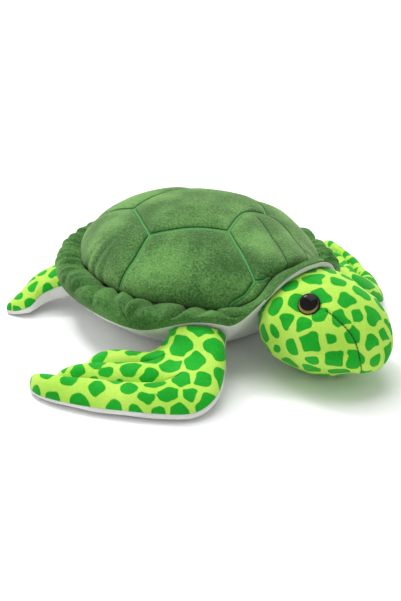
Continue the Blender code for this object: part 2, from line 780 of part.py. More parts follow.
def make_flipper(flipper):
    """Top panel, sole panel and filling, with their origins on the hinge."""
    root, _, _ = flipper.frame()
    place = Vector((root[0], root[1], flipper.hinge))
    for part, look in (("top", LIME_PILE), ("sole", WHITE_PILE), ("filling", FIBRE)):
        made = add_object(flipper.name + "_" + part, flipper_surface(flipper, part), look)
        if part != "filling":
            facing = sum(face.normal.z * face.area for face in made.data.polygons)
            if (facing > 0) != (part == "top"):
                made.data.flip_normals()
            thicken(made, cover_thickness)
        made.data.transform(Matrix.Translation(-place))
        made.location = place
        if flipper.side > 0:
            made.data.transform(Matrix.Diagonal((1.0, -1.0, 1.0, 1.0)))
            made.data.flip_normals()
            made.location.y = -place.y


def main():
    for old in list(bpy.data.objects):
        bpy.data.objects.remove(old)
    make_shell_cover()
    make_rim_cover()
    seat = neck_seat()
    cut(make_belly_panel(), seat)
    cut(make_body_filling(), seat)
    make_head_skin()
    make_head_filling()
    for side, word in ((-1, "right"), (1, "left")):
        make_eye(side)
        make_washer(side)
        make_flipper(FrontFlipper("front_flipper_" + word, side))
        make_flipper(RearFlipper("rear_flipper_" + word, side))


main()
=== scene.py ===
"""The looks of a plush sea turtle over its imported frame: sewn fabric, stuffing, stitches and safety eyes.

Metres. +X is the way the turtle faces, +Y is its left and +Z is up. The floor is at zero.
"""

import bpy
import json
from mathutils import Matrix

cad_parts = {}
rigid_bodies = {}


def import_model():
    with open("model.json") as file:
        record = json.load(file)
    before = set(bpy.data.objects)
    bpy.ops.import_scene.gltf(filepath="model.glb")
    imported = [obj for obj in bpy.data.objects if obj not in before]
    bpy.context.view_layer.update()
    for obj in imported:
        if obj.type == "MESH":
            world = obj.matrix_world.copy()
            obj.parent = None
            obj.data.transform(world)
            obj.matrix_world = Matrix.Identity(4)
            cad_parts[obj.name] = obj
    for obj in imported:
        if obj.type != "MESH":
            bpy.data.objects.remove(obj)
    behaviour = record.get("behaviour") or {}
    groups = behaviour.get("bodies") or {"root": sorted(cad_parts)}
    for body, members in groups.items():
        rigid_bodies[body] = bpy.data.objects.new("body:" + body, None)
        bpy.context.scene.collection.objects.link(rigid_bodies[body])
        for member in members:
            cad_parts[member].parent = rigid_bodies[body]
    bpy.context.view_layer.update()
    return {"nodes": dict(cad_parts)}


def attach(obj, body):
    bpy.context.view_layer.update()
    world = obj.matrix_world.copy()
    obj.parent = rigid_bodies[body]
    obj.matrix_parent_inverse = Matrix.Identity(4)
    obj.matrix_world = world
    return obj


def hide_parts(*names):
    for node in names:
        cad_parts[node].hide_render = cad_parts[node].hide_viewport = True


bl_info = {
    "name": "Plush Sea Turtle",
    "version": (1, 0, 0),
    "blender": (4, 5, 0),
    "location": "3D View > Sidebar > Sea Turtle",
    "description": "Sews the shell, rim, belly, head, flippers and eyes of a plush sea turtle",
    "category": "Add Mesh",
}

import json
import math

import bpy
import numpy as np
from bpy.props import FloatProperty, FloatVectorProperty, IntProperty, PointerProperty
from mathutils import Vector

for left_over in list(bpy.data.objects):
    bpy.data.objects.remove(left_over)
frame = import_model()

# Seams of the quilted shell on the dome's unit disc. Doubled seams have two rows of stitches.
DOUBLE_SEAMS = [
    [(-0.380, -0.383), (-0.165, -0.508), (0.057, -0.620)],
    [(0.057, -0.620), (0.240, -0.350), (0.443, -0.112)],
    [(0.443, -0.112), (0.290, 0.262), (0.332, 0.473)],
    [(0.332, 0.473), (0.175, 0.590), (0.000, 0.690)],
    [(0.000, 0.690), (-0.215, 0.560), (-0.420, 0.400)],
    [(-0.420, 0.400), (-0.430, 0.010), (-0.380, -0.383)],
    [(0.443, -0.112), (0.680, -0.225), (0.890, -0.328)],
    [(0.890, -0.328), (0.885, -0.430), (0.848, -0.530)],
    [(0.890, -0.328), (0.940, -0.285), (0.974, -0.225)],
    [(0.057, -0.620), (0.112, -0.825), (0.105, -0.995)],
    [(0.000, 0.690), (0.060, 0.850), (0.105, 0.995)],
    [(-0.380, -0.383), (-0.640, -0.405), (-0.914, -0.407)],
    [(-0.420, 0.400), (-0.650, 0.420), (-0.914, 0.407)],
]
THIN_SEAMS = [
    [(0.332, 0.473), (0.590, 0.430), (0.868, 0.292)],
    [(0.868, 0.292), (0.930, 0.262), (0.974, 0.225)],
    [(0.868, 0.292), (0.865, 0.420), (0.848, 0.530)],
    [(0.420, 0.262), (0.735, 0.110), (0.999, -0.052)],
]

# Creases up the dome from its foot: angle in degrees, reach, depth and width in metres, and slant in degrees
# per metre
DOME_CREASES = [
    (-113, 0.022, 0.0022, 0.004, 150), (-104, 0.026, 0.0018, 0.0036, 60), (-96, 0.02, 0.0013, 0.0032, -80),
    (-64, 0.012, 0.0009, 0.004, 120), (-128, 0.016, 0.0012, 0.004, 60), (-146, 0.014, 0.001, 0.004, -60),
    (70, 0.018, 0.0014, 0.004, 60), (104, 0.022, 0.0016, 0.0036, -60), (120, 0.018, 0.0012, 0.0036, 90),
    (152, 0.014, 0.001, 0.004, 60), (176, 0.014, 0.001, 0.004, -50),
]
# Where the dome swells over the rim: middle and spread in degrees, how far out and down in metres
DOME_SWELLS = [(-22, 8, 0.007, 0.005)]
# Creases across the rim: angle in degrees, depth and width in metres, slant in degrees from foot to seam
RIM_CREASES = [
    (-80, 0.0052, 0.003, 9), (-53, 0.006, 0.0026, -5), (-34, 0.0042, 0.0032, 9), (-23, 0.003, 0.003, 12),
    (-68, 0.0018, 0.004, -6), (-98, 0.002, 0.0034, -6), (-111, 0.0022, 0.0032, 7), (-122, 0.0018, 0.003, -5),
    (-90, 0.0018, 0.0024, 4), (-74, 0.002, 0.0022, 3), (-61, 0.0016, 0.0024, 10), (-45, 0.002, 0.0026, -6),
    (-132, 0.002, 0.0034, 3), (-141, 0.0018, 0.003, -2), (-149, 0.002, 0.003, 2), (-157, 0.0018, 0.003, -3),
    (-165, 0.0018, 0.003, 2), (-174, 0.0018, 0.0034, 0), (176, 0.0016, 0.0034, 3), (165, 0.0018, 0.0034, -3),
    (152, 0.002, 0.0034, 2), (139, 0.0018, 0.0034, 3), (126, 0.0018, 0.0034, -4), (112, 0.0022, 0.004, 4),
    (97, 0.0016, 0.0036, 5), (84, 0.0024, 0.0036, -6), (72, 0.0018, 0.0034, 3), (60, 0.002, 0.0034, -4),
    (50, 0.0018, 0.0034, 3), (41, 0.0022, 0.0034, -4), (32, 0.0022, 0.0036, -8), (24, 0.0018, 0.0036, -6),
]
# Where the rim is drawn up in small gathers: middle and spread in degrees, height in metres, and how many
# gathers would go all round
RIM_GATHERS = [(-140, 34, 0.0011, 92), (44, 26, 0.001, 104), (120, 34, 0.0006, 84)]
# Where the rim hangs lower past its seam: middle and spread in degrees, and how far in metres
RIM_DROOPS = [(-72, 17, 0.0036), (72, 17, 0.003), (-120, 20, 0.0008)]
# Where the rim is taken in and drawn down beside a flipper: middle and spread in degrees, and how far in and
# down in metres
RIM_TAKEN_IN = [(50, 27, 0.007, 0.0055), (-150, 24, 0.0015, 0.001)]

# Seam down the right side of the snout, from beside the eye to under the chin. The left one mirrors it.
SNOUT_SEAM = [
    (0.185, -0.0254, 0.0727), (0.1898, -0.0251, 0.071), (0.1968, -0.0238, 0.0673), (0.2034, -0.0218, 0.063),
    (0.209, -0.0205, 0.0579), (0.2133, -0.02, 0.0525), (0.2167, -0.0198, 0.0469), (0.2185, -0.0198, 0.0408),
    (0.2196, -0.0181, 0.0321), (0.217, -0.0142, 0.0247),
]

# Flipper edges from the root seam to the tip, as shares of the length: out from the seam, and back
FRONT_LEADING = [
    (0.000, -0.175), (0.185, -0.200), (0.390, -0.172), (0.525, -0.040), (0.550, 0.180),
    (0.522, 0.495), (0.460, 0.735), (0.392, 0.880), (0.325, 0.965),
]
FRONT_TRAILING = [
    (0.000, 0.175), (-0.010, 0.205), (-0.058, 0.270), (-0.098, 0.372), (-0.110, 0.480),
    (-0.106, 0.610), (-0.092, 0.745), (-0.074, 0.880), (-0.050, 0.970),
]
REAR_LEADING = [
    (0.00, -0.375), (0.20, -0.450), (0.42, -0.470), (0.62, -0.430), (0.80, -0.330), (0.93, -0.180),
]
REAR_TRAILING = [
    (0.00, 0.375), (0.20, 0.295), (0.42, 0.215), (0.62, 0.125), (0.80, 0.015), (0.93, -0.080),
]
# Each finger from the trailing one on: where it ends, and where the notch on its trailing side lies. The
# outer notch is where the leading finger's outer side starts to round off.
FRONT_FINGERS, FRONT_OUTER_NOTCH = [(0.69, 0.50), (0.825, 0.57), (1.00, 0.725)], 0.88
REAR_FINGERS, REAR_OUTER_NOTCH = [(1.00, 0.80)], 0.80


def linear(red, green, blue):
    """A display colour from 0 to 255 as the linear colour that a shader takes."""
    shown = np.array([red, green, blue]) / 255
    bright = ((shown + 0.055) / 1.055) ** 2.4
    return tuple(float(c) for c in np.where(shown <= 0.04045, shown / 12.92, bright))


def length(name, description, default):
    return FloatProperty(name=name, description=description, default=default, min=0.0, precision=5,
                         subtype='DISTANCE', unit='LENGTH')


def share(name, description, default):
    return FloatProperty(name=name, description=description, default=default, subtype='FACTOR')


def turn(name, description, degrees):
    return FloatProperty(name=name, description=description, default=math.radians(degrees),
                         subtype='ANGLE', unit='ROTATION')


def colour(name, description, shown):
    return FloatVectorProperty(name=name, description=description, default=linear(*shown), min=0.0, max=1.0,
                               size=3, subtype='COLOR')


def count(name, description, default):
    return IntProperty(name=name, description=description, default=default, min=8)


class BodySizes(bpy.types.PropertyGroup):
    """Sizes of the shell, the rim and the belly."""

    shell_length: length("Shell Length", "Length over the rim's outer seam", 0.289)
    shell_width: length("Shell Width", "Width over the rim's outer seam", 0.259)
    rim_reach: length("Rim Reach", "Width of the rim, seen from above", 0.0245)
    rim_seam_height: length("Seam Height", "Height of the outer seam at the sides", 0.043)
    seam_strip: length("Seam Strip", "Upright edge of the rim above its seam", 0.0034)
    rim_foot: length("Rim Foot", "How far the rim starts below the dome's foot", 0.0022)
    rim_bulge: length("Rim Bulge", "How far the rim's stuffing lifts it", 0.0042)
    rim_pillow: length("Rim Pillow", "How far the rim swells between creases", 0.0030)
    fold: share("Fold", "How much one side of a crease stands over the other", 0.45)
    fold_width: length("Fold Width", "How far a fold reaches from its crease", 0.009)
    rim_overhang: length("Rim Overhang", "How far the rim rolls under past its seam", 0.0026)
    neck_edge: length("Neck Edge", "How much white shows under the rim over the neck", 0.0022)
    neck_bead: length("Neck Bead", "How far that white edge bulges", 0.0016)
    rim_tuck: length("Rim Tuck", "How far the rim's edges turn in under it", 0.006)
    dome_foot_height: length("Dome Foot", "Height of the dome's foot", 0.057)
    dome_rise: length("Dome Rise", "Height of the dome over its foot", 0.0535)
    dome_profile: share("Dome Profile", "How full the dome's section is", 0.56)
    dome_front: share("Dome Front", "How much lower the dome is in front", 0.15)
    arch_rise: length("Arch Rise", "How far the rim rises over the neck", 0.0485)
    arch_width: length("Arch Width", "Width of the arch over the neck", 0.148)
    dome_arch: share("Dome Arch", "How much of the arch the dome's foot follows", 0.57)
    flipper_lift: length("Flipper Lift", "How far the front flippers push the seam up", 0.012)
    flipper_lift_angle: turn("Flipper Lift Angle", "Where round the shell they push it up", 44)
    flipper_lift_spread: turn("Flipper Lift Spread", "How far round the shell the push reaches", 26)
    flat_length: length("Flat Length", "Length of the belly's flat", 0.142)
    flat_width: length("Flat Width", "Width of the belly's flat", 0.140)
    belly_bulge: length("Belly Bulge", "How far the belly swells under the seam", 0.0022)
    scute_puff: length("Scute Puff", "How far each scute is puffed up", 0.0028)
    scute_shoulder: length("Scute Shoulder", "How far from a seam the puff builds up", 0.0110)
    seam_depth: length("Seam Depth", "How far a doubled seam is drawn in", 0.0016)
    seam_width: length("Seam Width", "Half width of the hollow along a seam", 0.0024)
    unevenness: length("Unevenness", "How uneven the stuffing feels", 0.0008)
    thin_share: share("Thin Seam Share", "How much of the puff a single seam holds down", 0.35)
    thin_depth: length("Thin Seam Depth", "How far a single seam is drawn in", 0.0006)
    thin_width: length("Thin Seam Width", "Half width of that hollow", 0.0015)
    foot_share: share("Foot Share", "How much of a seam's depth is left at the dome's foot", 0.3)
    foot_fade: length("Foot Fade", "Height over which a seam gets its full depth", 0.01)
    dome_waves: length("Dome Waves", "How long the dome's unevenness is", 0.055)
    wave_fade: length("Wave Fade", "Height over which it builds up", 0.012)
    foot_turn: share("Foot Turn", "How much of its reach the dome keeps where its foot turns in", 0.985)
    foot_turn_down: length("Foot Turn Down", "How far the foot goes down there", 0.0022)
    foot_tuck: length("Foot Tuck", "How far the foot goes down under the rim", 0.0065)
    pillow_width: length("Pillow Width", "How far from a crease a pillow builds up", 0.008)
    rim_start: share("Rim Start", "How much of the creases' depth shows at the dome's foot", 0.1)
    neck_calm: share("Neck Calm", "How much smoother the rim is over the neck", 0.8)
    rim_waves: length("Rim Waves", "How long the rim's unevenness is", 0.04)
    arch_start: share("Arch Start", "How far up the arch the white edge shows in full", 0.6)
    edge_roll: length("Edge Roll", "How far in the rim's edge rolls", 0.00312)
    rim_hem: length("Rim Hem", "How far in the rim's hem goes under its edge", 0.0036)
    rim_hem_rise: length("Hem Rise", "How far the hem turns up", 0.0015)
    rim_tuck_drop: length("Tuck Drop", "How far down the rim's top is tucked", 0.008)
    foot_in: length("Foot In", "How far in the rim's foot starts", 0.0035)
    foot_drop: length("Foot Drop", "How far down the rim's foot starts", 0.0045)
    lip_in: length("Lip In", "How far in the rim's lip by the dome lies", 0.0012)
    lip_drop: length("Lip Drop", "How far down that lip lies", 0.0022)
    belly_inset: length("Belly Inset", "How far the belly's edge stays behind the seam", 0.0014)
    seam_gap: length("Seam Gap", "How far under the seam the belly ends", 0.0008)
    bead_place: share("Bead Place", "How far out on the belly the neck's white edge bulges", 0.97)
    bead_width: share("Bead Width", "Half width of that bulge", 0.035)
    edge_margin: FloatProperty(name="Edge Margin", default=1.3,
                               description="How far the belly rises, in white edges that show")
    belly_tuck: length("Belly Tuck", "How far in the belly is tucked under the rim", 0.010)
    belly_tuck_drop: length("Belly Tuck Drop", "How far down it is tucked", 0.0085)
    belly_fold: length("Belly Fold", "How far in the belly folds at the seam", 0.004)
    belly_fold_drop: length("Belly Fold Drop", "How far down it folds", 0.0005)
    belly_unevenness: length("Belly Unevenness", "How uneven the belly feels", 0.00048)
    belly_waves: length("Belly Waves", "How long the belly's unevenness is", 0.05)
    belly_wave_fade: length("Belly Wave Fade", "Height over which it builds up", 0.02)
    neck_room: length("Neck Room", "Room between the belly and the head", 0.0012)


class HeadSizes(bpy.types.PropertyGroup):
    """Sizes of the head and the eyes."""

    ball_radius: length("Neck Ball", "Radius of the head's back about the neck joint", 0.042)
    half_width: length("Half Width", "Half the head's width", 0.053)
    joint_reach: length("Joint Reach", "How far in front of the middle the neck turns", 0.1495)
    joint_height: length("Joint Height", "Height of the neck joint", 0.045)
    snout_length: length("Snout Length", "From the neck joint to the tip of the snout", 0.0745)
    snout_droop: length("Snout Droop", "How far the snout drops at its tip", 0.011)
    jaw_taper: share("Jaw Taper", "How much narrower the jaw gets", 0.16)
    chin_drop: length("Chin Drop", "How far the chin hangs", 0.0055)
    snout_lift: length("Snout Lift", "How far the snout's underside rises off the floor", 0.0075)
    eye_radius: length("Eye Radius", "Radius of the safety eye", 0.0097)
    eye_height: length("Eye Height", "How high the eye is domed", 0.0050)
    eye_edge: length("Eye Edge", "Thickness of the eye's edge", 0.0012)
    eye_forward: length("Eye Forward", "Eye in front of the neck joint", 0.021)
    eye_snout: length("Eye Snout", "Half length of the ellipse that the eyes lie on", 0.078)
    eye_angle: turn("Eye Angle", "How far up the head's section the eyes sit", 39.8)
    eye_level: share("Eye Level", "How far the eyes face level rather than straight out of the head", 0.38)
    roll: turn("Roll", "How far the head has rolled over to the left", 12)
    eye_sink: length("Eye Sink", "How deep the eye is drawn in", 0.0032)
    left_sink: length("Left Sink", "How much deeper the left eye is drawn in", 0.0046)
    eye_hollow: length("Eye Hollow", "How far the hollow round the eye spreads", 0.0118)
    seam_depth: length("Snout Seam Depth", "How far the snout's seams are drawn in", 0.0016)
    unevenness: length("Unevenness", "How uneven the stuffing feels", 0.0009)
    waves: length("Waves", "How long that unevenness is", 0.045)
    wave_fade: length("Wave Fade", "How far in front of the neck joint it builds up", 0.03)
    wave_start: share("Wave Start", "How far it has built up at the neck joint", 0.3)
    seam_width: length("Snout Seam Width", "Half width of the hollow along a snout seam", 0.0019)
    seam_swell: length("Snout Seam Swell", "How far the stuffing swells beside a snout seam", 0.0012)
    seam_swell_width: length("Seam Swell Width", "How far from the seam it swells", 0.008)
    socket: length("Socket", "How much deeper than the eye its hollow is", 0.0012)
    floor_gap: length("Floor Gap", "How far the chin stays off the floor", 0.0002)
    stem_share: share("Stem Share", "The radius of the eye's stem as a share of the eye's", 0.22)
    stem_length: length("Stem Length", "How far the eye's stem goes into the head", 0.010)


class FlipperSizes(bpy.types.PropertyGroup):
    """Sizes of the flippers."""

    front_length: length("Front Length", "Front flipper from root seam to tip", 0.140)
    front_depth: length("Front Root Depth", "Depth of a front flipper's root", 0.034)
    front_thickness: length("Front Thickness", "Thickness of a front flipper", 0.028)
    front_tip: length("Front Tip", "Thickness of a front flipper by its finger tips", 0.0235)
    front_seam: length("Front Seam", "Height of a front flipper's edge seam", 0.0085)
    front_right_angle: turn("Front Right Angle", "Where the right front flipper is sewn on", -46)
    front_left_angle: turn("Front Left Angle", "Where the left front flipper is sewn on", -54)
    front_right_drop: length("Front Right Drop", "Its hinge under the seam", 0.0044)
    front_left_drop: length("Front Left Drop", "Its hinge under the seam", 0.0061)
    front_left_sweep: turn("Front Left Sweep", "How far the left one is swept back", 1)
    front_left_reach: share("Front Left Reach", "How much of its reach the left one keeps", 0.60)
    rear_length: length("Rear Length", "Rear flipper from root seam to tip", 0.058)
    rear_depth: length("Rear Root Depth", "Depth of a rear flipper's root", 0.030)
    rear_thickness: length("Rear Thickness", "Thickness of a rear flipper", 0.019)
    rear_tip: length("Rear Tip", "Thickness of a rear flipper by its tip", 0.0125)
    rear_seam: length("Rear Seam", "Height of a rear flipper's edge seam", 0.0065)
    rear_angle: turn("Rear Angle", "Where the rear flippers are sewn on", -137)
    rear_drop: length("Rear Drop", "Their hinge under the seam", 0.0031)
    rear_splay: turn("Rear Splay", "How far the rear flippers spread", -24)
    root_room: turn("Root Room", "Room between a flipper's root and the belly", 9)
    groove: share("Finger Groove", "How deep the grooves between fingers are", 0.74)
    fabric: length("Fabric", "Thickness of the fabric", 0.0010)
    unevenness: length("Unevenness", "How uneven the stuffing feels", 0.0008)
    waves: length("Waves", "How long that unevenness is", 0.032)


class SpotSizes(bpy.types.PropertyGroup):
    """Sizes of the printed spots."""

    head: length("Head Spots", "From one spot to the next on the head", 0.0143)
    front_root: length("Front Root Spots", "From spot to spot by a front flipper's root", 0.0178)
    front_tip: length("Front Tip Spots", "From spot to spot on the fingers", 0.0145)
    rear_root: length("Rear Root Spots", "From spot to spot by a rear flipper's root", 0.0125)
    rear_tip: length("Rear Tip Spots", "From spot to spot by a rear flipper's tip", 0.0115)
    gap: length("Gap", "Ground between two spots", 0.0039)
    reach: share("Reach", "How far a spot spreads from its middle where nothing stops it", 0.66)
    joined: share("Joined", "How many of the spots join a neighbour", 0.05)
    softness: length("Softness", "How round the spots' corners are", 0.0010)
    wave: length("Wave", "How uneven the spots' edges are", 0.0011)
    wavelength: length("Wavelength", "Length of that unevenness", 0.011)


class Finishes(bpy.types.PropertyGroup):
    """Colours of the fabrics and the eyes."""

    # The shell, rim and white piles each mix a light and a dark colour by the pile's tone, which is partly
    # painted sheen and shade on the brushed nap
    shell: colour("Shell", "Pile of the shell", (110, 165, 84))
    shell_shade: colour("Shell Shade", "Shell pile brushed the dark way", (40, 86, 36))
    rim: colour("Rim", "Pile of the rim", (90, 146, 70))
    rim_shade: colour("Rim Shade", "Rim pile brushed the dark way", (34, 78, 28))
    # Dark stitches; this colour also stands for painted shade in the grooves that they draw in
    thread_and_groove_shade: colour("Thread And Groove Shade", "Stitches and the seams' hollows", (8, 62, 18))
    # Painted highlight: the bright strip is light caught on the ridge along a doubled seam
    seam_ridge_highlight: colour("Seam Green", "Bright strip along a doubled seam", (66, 164, 76))
    lime: colour("Lime", "Ground of the printed fabric", (196, 234, 98))
    lime_shade: colour("Lime Shade", "The ground where it is printed darker", (164, 220, 72))
    spot: colour("Spots", "Spots of the printed fabric", (16, 180, 36))
    # Also used as painted shade along a flipper panel's edge seam
    spot_edge_and_seam_shade: colour("Spot Edge", "Darker edge of the spots", (6, 146, 24))
    white: colour("White", "Belly and soles", (236, 237, 232))
    white_shade: colour("White Shade", "White pile brushed the dark way", (222, 223, 219))
    iris: colour("Iris", "Iris of the eyes", (176, 156, 92))
    iris_dark: colour("Iris Dark", "Fibres of the iris", (98, 80, 36))
    washer: colour("Washer", "Locking washers inside the head", (226, 226, 220))
    floor: colour("Floor", "Floor and background", (253, 253, 254))


class Fineness(bpy.types.PropertyGroup):
    """How finely the surfaces are divided."""

    shell_columns: count("Shell Columns", "Columns round the shell", 700)
    shell_rings: count("Shell Rings", "Rings from the crown to the foot", 128)
    rim_columns: count("Rim Columns", "Columns round the rim", 960)
    rim_rows: count("Rim Rows", "Rows across the rim", 34)
    belly_columns: count("Belly Columns", "Columns round the belly", 480)
    belly_rows: count("Belly Rows", "Rows from the seam to the flat", 70)
    head_columns: count("Head Columns", "Columns round the head", 340)
    head_rings: count("Head Rings", "Rings from the snout to the neck", 200)
    finger_columns: count("Finger Columns", "Columns across one finger", 44)
    flipper_rows: count("Flipper Rows", "Rows from the root to the tips", 160)
    eye_columns: count("Eye Columns", "Columns round an eye", 72)


GROUPS = {"turtle_body": BodySizes, "turtle_head": HeadSizes, "turtle_flippers": FlipperSizes,
          "turtle_spots": SpotSizes, "turtle_finishes": Finishes, "turtle_fineness": Fineness}


# Meshes from grids of points

BODY_MIDDLE = (0.0, 0.0, 0.05)
TINY = 1e-12
# In metres, and farther than any two points of the turtle are apart
FAR_OFF = 1.0


def between_rows(index):
    """The faces between the rows and columns of a grid of indices, four corners each."""
    corners = [index[:-1, :-1], index[:-1, 1:], index[1:, 1:], index[1:, :-1]]
    return np.stack(corners, axis=-1).reshape(-1, 4)


def piece(name, points, wrap=True, first=None, last=None, inside=BODY_MIDDLE, fields=None):
    """A smooth mesh object from a grid of points, rows by columns.

    wrap joins the last column to the first. first and last are points that close the grid's ends. All
    faces are turned so that, taken together, they look away from the point inside. fields are numbers
    kept for each point as attributes, and a closing point gets its ring's mean.
    """
    rows, columns = points.shape[:2]
    index = np.arange(rows * columns).reshape(rows, columns)
    ring = np.hstack([index, index[:, :1]]) if wrap else index
    quads = between_rows(ring)
    places = points.reshape(-1, 3)
    triangles = np.zeros((0, 3), int)
    values = {key: field.ravel() for key, field in (fields or {}).items()}
    for tip, row, turned in ((first, 0, 1), (last, -1, -1)):
        if tip is not None:
            fan = np.stack([ring[row][1:], ring[row][:-1], np.full(ring.shape[1] - 1, len(places))], axis=-1)
            triangles = np.vstack([triangles, fan[:, ::turned]])
            places = np.vstack([places, tip])
            values = {key: np.append(value, fields[key][row].mean()) for key, value in values.items()}
    across = np.cross(places[quads[:, 2]] - places[quads[:, 0]], places[quads[:, 3]] - places[quads[:, 1]])
    outward = ((places[quads].mean(axis=1) - np.array(inside)) * across).sum()
    if outward < 0:
        quads, triangles = quads[:, ::-1], triangles[:, ::-1]
    mesh = bpy.data.meshes.new(name)
    mesh.from_pydata(places.tolist(), [], quads.tolist() + triangles.tolist())
    for key, value in values.items():
        mesh.attributes.new(key, 'FLOAT', 'POINT').data.foreach_set("value", value.astype(np.float32))
    mesh.validate()
    mesh.shade_smooth()
    made = bpy.data.objects.new(name, mesh)
    bpy.context.scene.collection.objects.link(made)
    return made


def settle(made, body, material, stands_for=()):
    """Puts a piece on its body, in its material, and hides the CAD nodes it stands for."""
    made.data.materials.append(material)
    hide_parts(*stands_for)
    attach(made, body)


def normals(points, wrap=True):
    """Unit normals of a grid of points, from the differences between neighbouring rows and columns."""
    along = np.gradient(points, axis=0)
    if wrap:
        around = np.roll(points, -1, axis=1) - np.roll(points, 1, axis=1)
    else:
        around = np.gradient(points, axis=1)
    normal = np.cross(along, around)
    return normal / np.maximum(np.linalg.norm(normal, axis=-1, keepdims=True), TINY)


def outward(points, inside, wrap=True):
    """The grid's normals, turned so that they look away from the point inside."""
    normal = normals(points, wrap)
    return normal * np.sign(((points - np.array(inside)) * normal).sum())


def uneven(points, wavelength, seed):
    """A hand-stuffed unevenness: the sum of nine sine waves in different directions, scaled to about -1 to 1.

    Each wave's length is the wavelength times a number from 0.7 to 1.5.
    """
    waves, shortest, longest, tallest = 9, 0.7, 1.5, 3.2
    dice = np.random.default_rng(seed)
    ways = dice.normal(size=(3, waves))
    ways /= np.linalg.norm(ways, axis=0) * wavelength * dice.uniform(shortest, longest, waves)
    phases = dice.uniform(0, 2 * math.pi, waves)
    return np.sin(points @ ways * 2 * math.pi + phases).sum(axis=-1) / tallest


def curve(corners, u):
    """A smooth curve through corners, at u from 0 to 1: between two corners runs the cubic whose slope at
    each of them is half the step between its neighbours."""
    corners = np.array(corners, float)
    last = len(corners) - 1
    place = np.clip(np.asarray(u, float), 0.0, 1.0) * last
    k = np.minimum(place.astype(int), last - 1)
    t = (place - k)[..., None]
    before, here = corners[np.maximum(k - 1, 0)], corners[k]
    there, after = corners[k + 1], corners[np.minimum(k + 2, last)]
    return 0.5 * (2 * here + (there - before) * t + (2 * before - 5 * here + 4 * there - after) * t ** 2
                  + (3 * here - before - 3 * there + after) * t ** 3)


def nearest(points, lines):
    """Distance from each point to the nearest of some broken lines, and how far along that line it is."""
    best = np.full(points.shape[:-1], FAR_OFF)
    along = np.zeros(points.shape[:-1])
    for line in lines:
        steps = np.diff(line, axis=0)
        sizes = np.linalg.norm(steps, axis=1)
        for start, step, size, walked in zip(line, steps, sizes, np.cumsum(sizes) - sizes):
            away = points - start
            t = np.clip(away @ step / size ** 2, 0.0, 1.0)
            distance = np.linalg.norm(away - t[..., None] * step, axis=-1)
            along = np.where(distance < best, walked + t * size, along)
            best = np.minimum(distance, best)
    return best, along


def spot_seeds(places, sizes):
    """Which points are the middles of spots: each lies as far as it can from those before it, in spot sizes.

    The last one is found when no point is more than a spot's size from the nearest middle.
    """
    seeds, room = [0], np.linalg.norm(places - places[0], axis=1) / sizes
    while room.max() > 1.0:
        seeds.append(int(room.argmax()))
        apart = np.linalg.norm(places - places[seeds[-1]], axis=1) / (sizes + sizes[seeds[-1]]) * 2
        room = np.minimum(room, apart)
    return seeds


def spot_depth(s, points, sizes, seed, stretch=(1.0, 1.0, 1.0)):
    """How deep each point lies inside a printed spot, in metres, and less than zero between the spots.

    Some neighbours share one spot, and each spot is a little larger or smaller than the last. A point's depth
    is the soft least of two: half of the difference between its distances to the two nearest spots, less half
    the gap, and what is left of the spot's own reach. A slow wave makes the spots' edges uneven.
    """
    tries, smallest, largest, narrowest, widest = 5000, -0.13, 0.15, 0.7, 1.5
    dice = np.random.default_rng(seed)
    places = points.reshape(-1, 3) * stretch
    sizes = np.broadcast_to(sizes, points.shape[:-1]).ravel()
    some = dice.choice(len(places), min(len(places), tries), replace=False)
    seeds = spot_seeds(places[some], sizes[some])
    middles, reach = places[some][seeds], sizes[some][seeds]
    spot_of = np.arange(len(seeds))
    odd = reach * dice.uniform(smallest, largest, len(seeds))
    for k in np.flatnonzero(dice.random(len(seeds)) < s.joined):
        apart = np.linalg.norm(middles - middles[k], axis=1)
        apart[k] = np.inf
        spot_of[k] = spot_of[apart.argmin()]
    first, second = np.full(len(places), FAR_OFF), np.full(len(places), FAR_OFF)
    owner = np.full(len(places), -1)
    for k, middle in enumerate(middles):
        distance = np.linalg.norm(places - middle, axis=1) + 0.5 * (reach.mean() - reach[k]) + odd[k]
        closer = distance < first
        own = owner == spot_of[k]
        second = np.where(closer & ~own, first, np.where(closer | own, second, np.minimum(second, distance)))
        owner = np.where(closer, spot_of[k], owner)
        first = np.minimum(first, distance)
    gaps = s.gap * dice.uniform(narrowest, widest, len(seeds))[owner]
    from_gap, from_reach = (gaps + first - second) / 2, first - s.reach * sizes
    depth = -s.softness * np.logaddexp(from_gap / s.softness, from_reach / s.softness)
    return depth.reshape(points.shape[:-1]) + s.wave * uneven(points, s.wavelength, seed)


def smooth(t):
    """Zero below 0, one above 1, and level at both: 3t^2 - 2t^3."""
    t = np.clip(t, 0.0, 1.0)
    return t * t * (3 - 2 * t)


def hollow(distance, width):
    """One on a line and falling off to both sides like a bell: exp(-(d/w)^2)."""
    return np.exp(-(distance / width) ** 2)


def turns(columns):
    return np.arange(columns) * 2 * math.pi / columns


def between(angle, middle):
    """The angle from middle, in radians from -pi to pi."""
    return (angle - middle + math.pi) % (2 * math.pi) - math.pi


def bell(angle, middle, spread):
    """One at the middle and falling off like a bell round the shell. Middle and spread are in degrees."""
    return hollow(between(angle, math.radians(middle)), math.radians(spread))


# Body

# Powers that shape the curves
ARCH_SIDE, ARCH_CROWN = 2.4, 1.6
LIFT_FADE, SWELL_FADE = 5, 4
RIM_SECTION, RIM_FADE = 0.8, 0.6
BELLY_SECTION, BELLY_BULGE_SIDE, TAKEN_IN_FADE = 1.35, 3, 4
SEAM_POINTS, RIM_EDGE_ROWS = 15, 9
# The dome's mean radius where its creases start, as a share of the shell's width
DOME_GIRTH = 0.44
# Where the rim's creases are shallower: middle and spread in degrees, and how much shallower
RIM_CALM = (-140, 34, 0.45)
DOME_SEED, RIM_SEED, BELLY_SEED = 3, 8, 5
# Keeps a division by the distance to the neck joint from growing without end
NEAR_MIDDLE = 0.05


